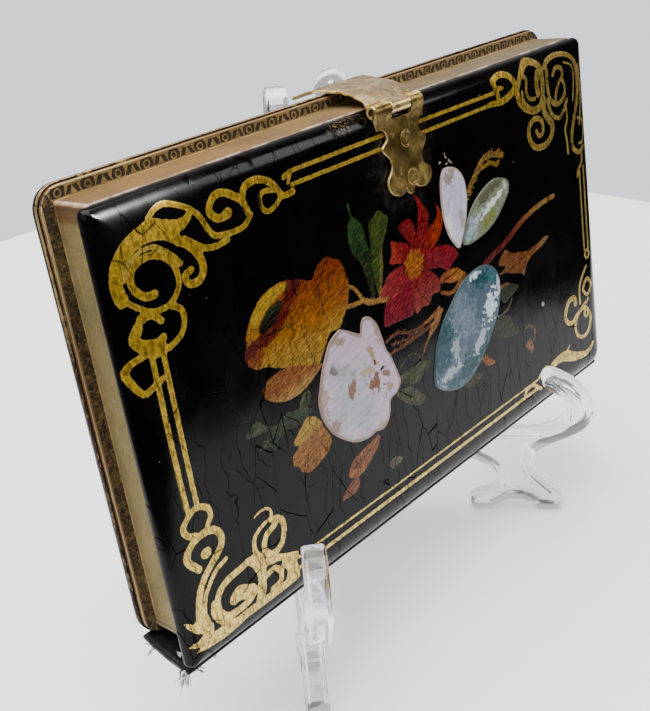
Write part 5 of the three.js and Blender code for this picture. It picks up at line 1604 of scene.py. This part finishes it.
def field_outline(outline, by):
    """The outline moved inwards by a rim's width, without what would fold over in narrow places."""
    start = np.array(outline)
    along = np.roll(start, -1, 0) - start
    length = np.maximum((along ** 2).sum(1), 1e-12)
    kept = []
    for point in inset_outline(outline, by):
        share = np.clip(((point - start) * along).sum(1) / length, 0, 1)
        if np.linalg.norm(point - start - share[:, None] * along, axis=1).min() > by - 0.03:
            kept.append(point)
    loop = np.array(kept + kept[:1])
    run = np.concatenate([[0], np.cumsum(np.linalg.norm(np.diff(loop, axis=0), axis=1))])
    at = np.linspace(0, run[-1], int(run[-1] / 0.6), endpoint=False)
    loop = np.stack([np.interp(at, run, loop[:, 0]), np.interp(at, run, loop[:, 1])], -1)
    for _ in range(3):
        loop = (np.roll(loop, 1, 0) + 2 * loop + np.roll(loop, -1, 0)) / 4
    return [tuple(point) for point in loop]


def easel_plate(side):
    """A plate with rounded edges and, on both faces, a rounded rim that stands round a sunk field."""
    half = EASEL_THICKNESS / 2
    edge = plate_rings(easel_outline(), -half, half, EASEL_BEVEL, 4)
    field = field_outline(easel_outline(), EASEL_RIM)
    points, faces = skin([[(u, v, t) for u, t, v in ring] for ring in edge], False, False)
    around = len(edge[0])
    slope = [inset_outline(field, EASEL_SLOPE * (k / SLOPE_STEPS - 0.5)) for k in range(SLOPE_STEPS + 1)]
    for face, land in ((-1, 0), (1, len(points) - around)):
        first, last = len(points), len(points) + SLOPE_STEPS * len(field)
        for k, ring in enumerate(slope):
            depth = half - EASEL_SUNK * (1 - math.cos(math.pi * k / SLOPE_STEPS)) / 2
            points += [(u, v, face * depth) for u, v in ring]
        faces += [tuple(first + i for i in quad) for quad in ring_faces(len(slope), len(field), False, False)]
        rim_edge, field_edge, floor = (
            [Vector((u, v, 0)) for u, v, _ in points[at:at + size]]
            for at, size in ((land, around), (first, len(field)), (last, len(field))))
        faces += [tuple(land + i if i < around else first + i - around for i in tri)
            for tri in tessellate_polygon([rim_edge, field_edge])]
        faces += [tuple(last + i for i in tri) for tri in tessellate_polygon([floor])]
    return loose_mesh("plate", to_easel(points, side), faces, True)


def easel_half(name, side, node):
    added = []
    pitch = REAR_TOP / KNUCKLES
    for k in range(0 if side > 0 else 1, KNUCKLES, 2):
        low, high = k * pitch + HOLE_ROOM / 2, (k + 1) * pitch - HOLE_ROOM / 2
        added.append(upright("knuckle", KNUCKLE, low, high, side, 0.3))
        half = EASEL_THICKNESS / 2 - 0.01
        arm = [(u, v, t) for u in (0, KNUCKLE + HOLE_ROOM + 1)
            for v, t in ((low, -half), (low, half), (high, half), (high, -half))]
        added.append(loose_mesh("arm", to_easel(arm, side), ring_faces(2, 4), True))
    bore = upright("bore", EASEL_PIN + HOLE_ROOM, -REAR_TOP, 2 * REAR_TOP, side, 0)
    half = merged_piece(name, easel_plate(side), added, [bore], clear_plastic, "root", node, 30)
    half.visible_glossy = False
    return half


easel_half("easel_plate_left", -1, "easel_left")
easel_half("easel_plate_right", 1, "easel_right")
pin_points = [(r * math.cos(math.pi * k / 16), v, r * math.sin(math.pi * k / 16))
    for v, r in ((0, EASEL_PIN - 0.2), (0.2, EASEL_PIN), (REAR_TOP - 0.2, EASEL_PIN),
    (REAR_TOP, EASEL_PIN - 0.2)) for k in range(32)]
easel_pin = new_piece("easel_hinge_pin", to_easel(pin_points, 1), ring_faces(4, 32), clear_plastic, "root",
    "easel_pin", placed=True)
smooth_by_angle(easel_pin.data, 50)
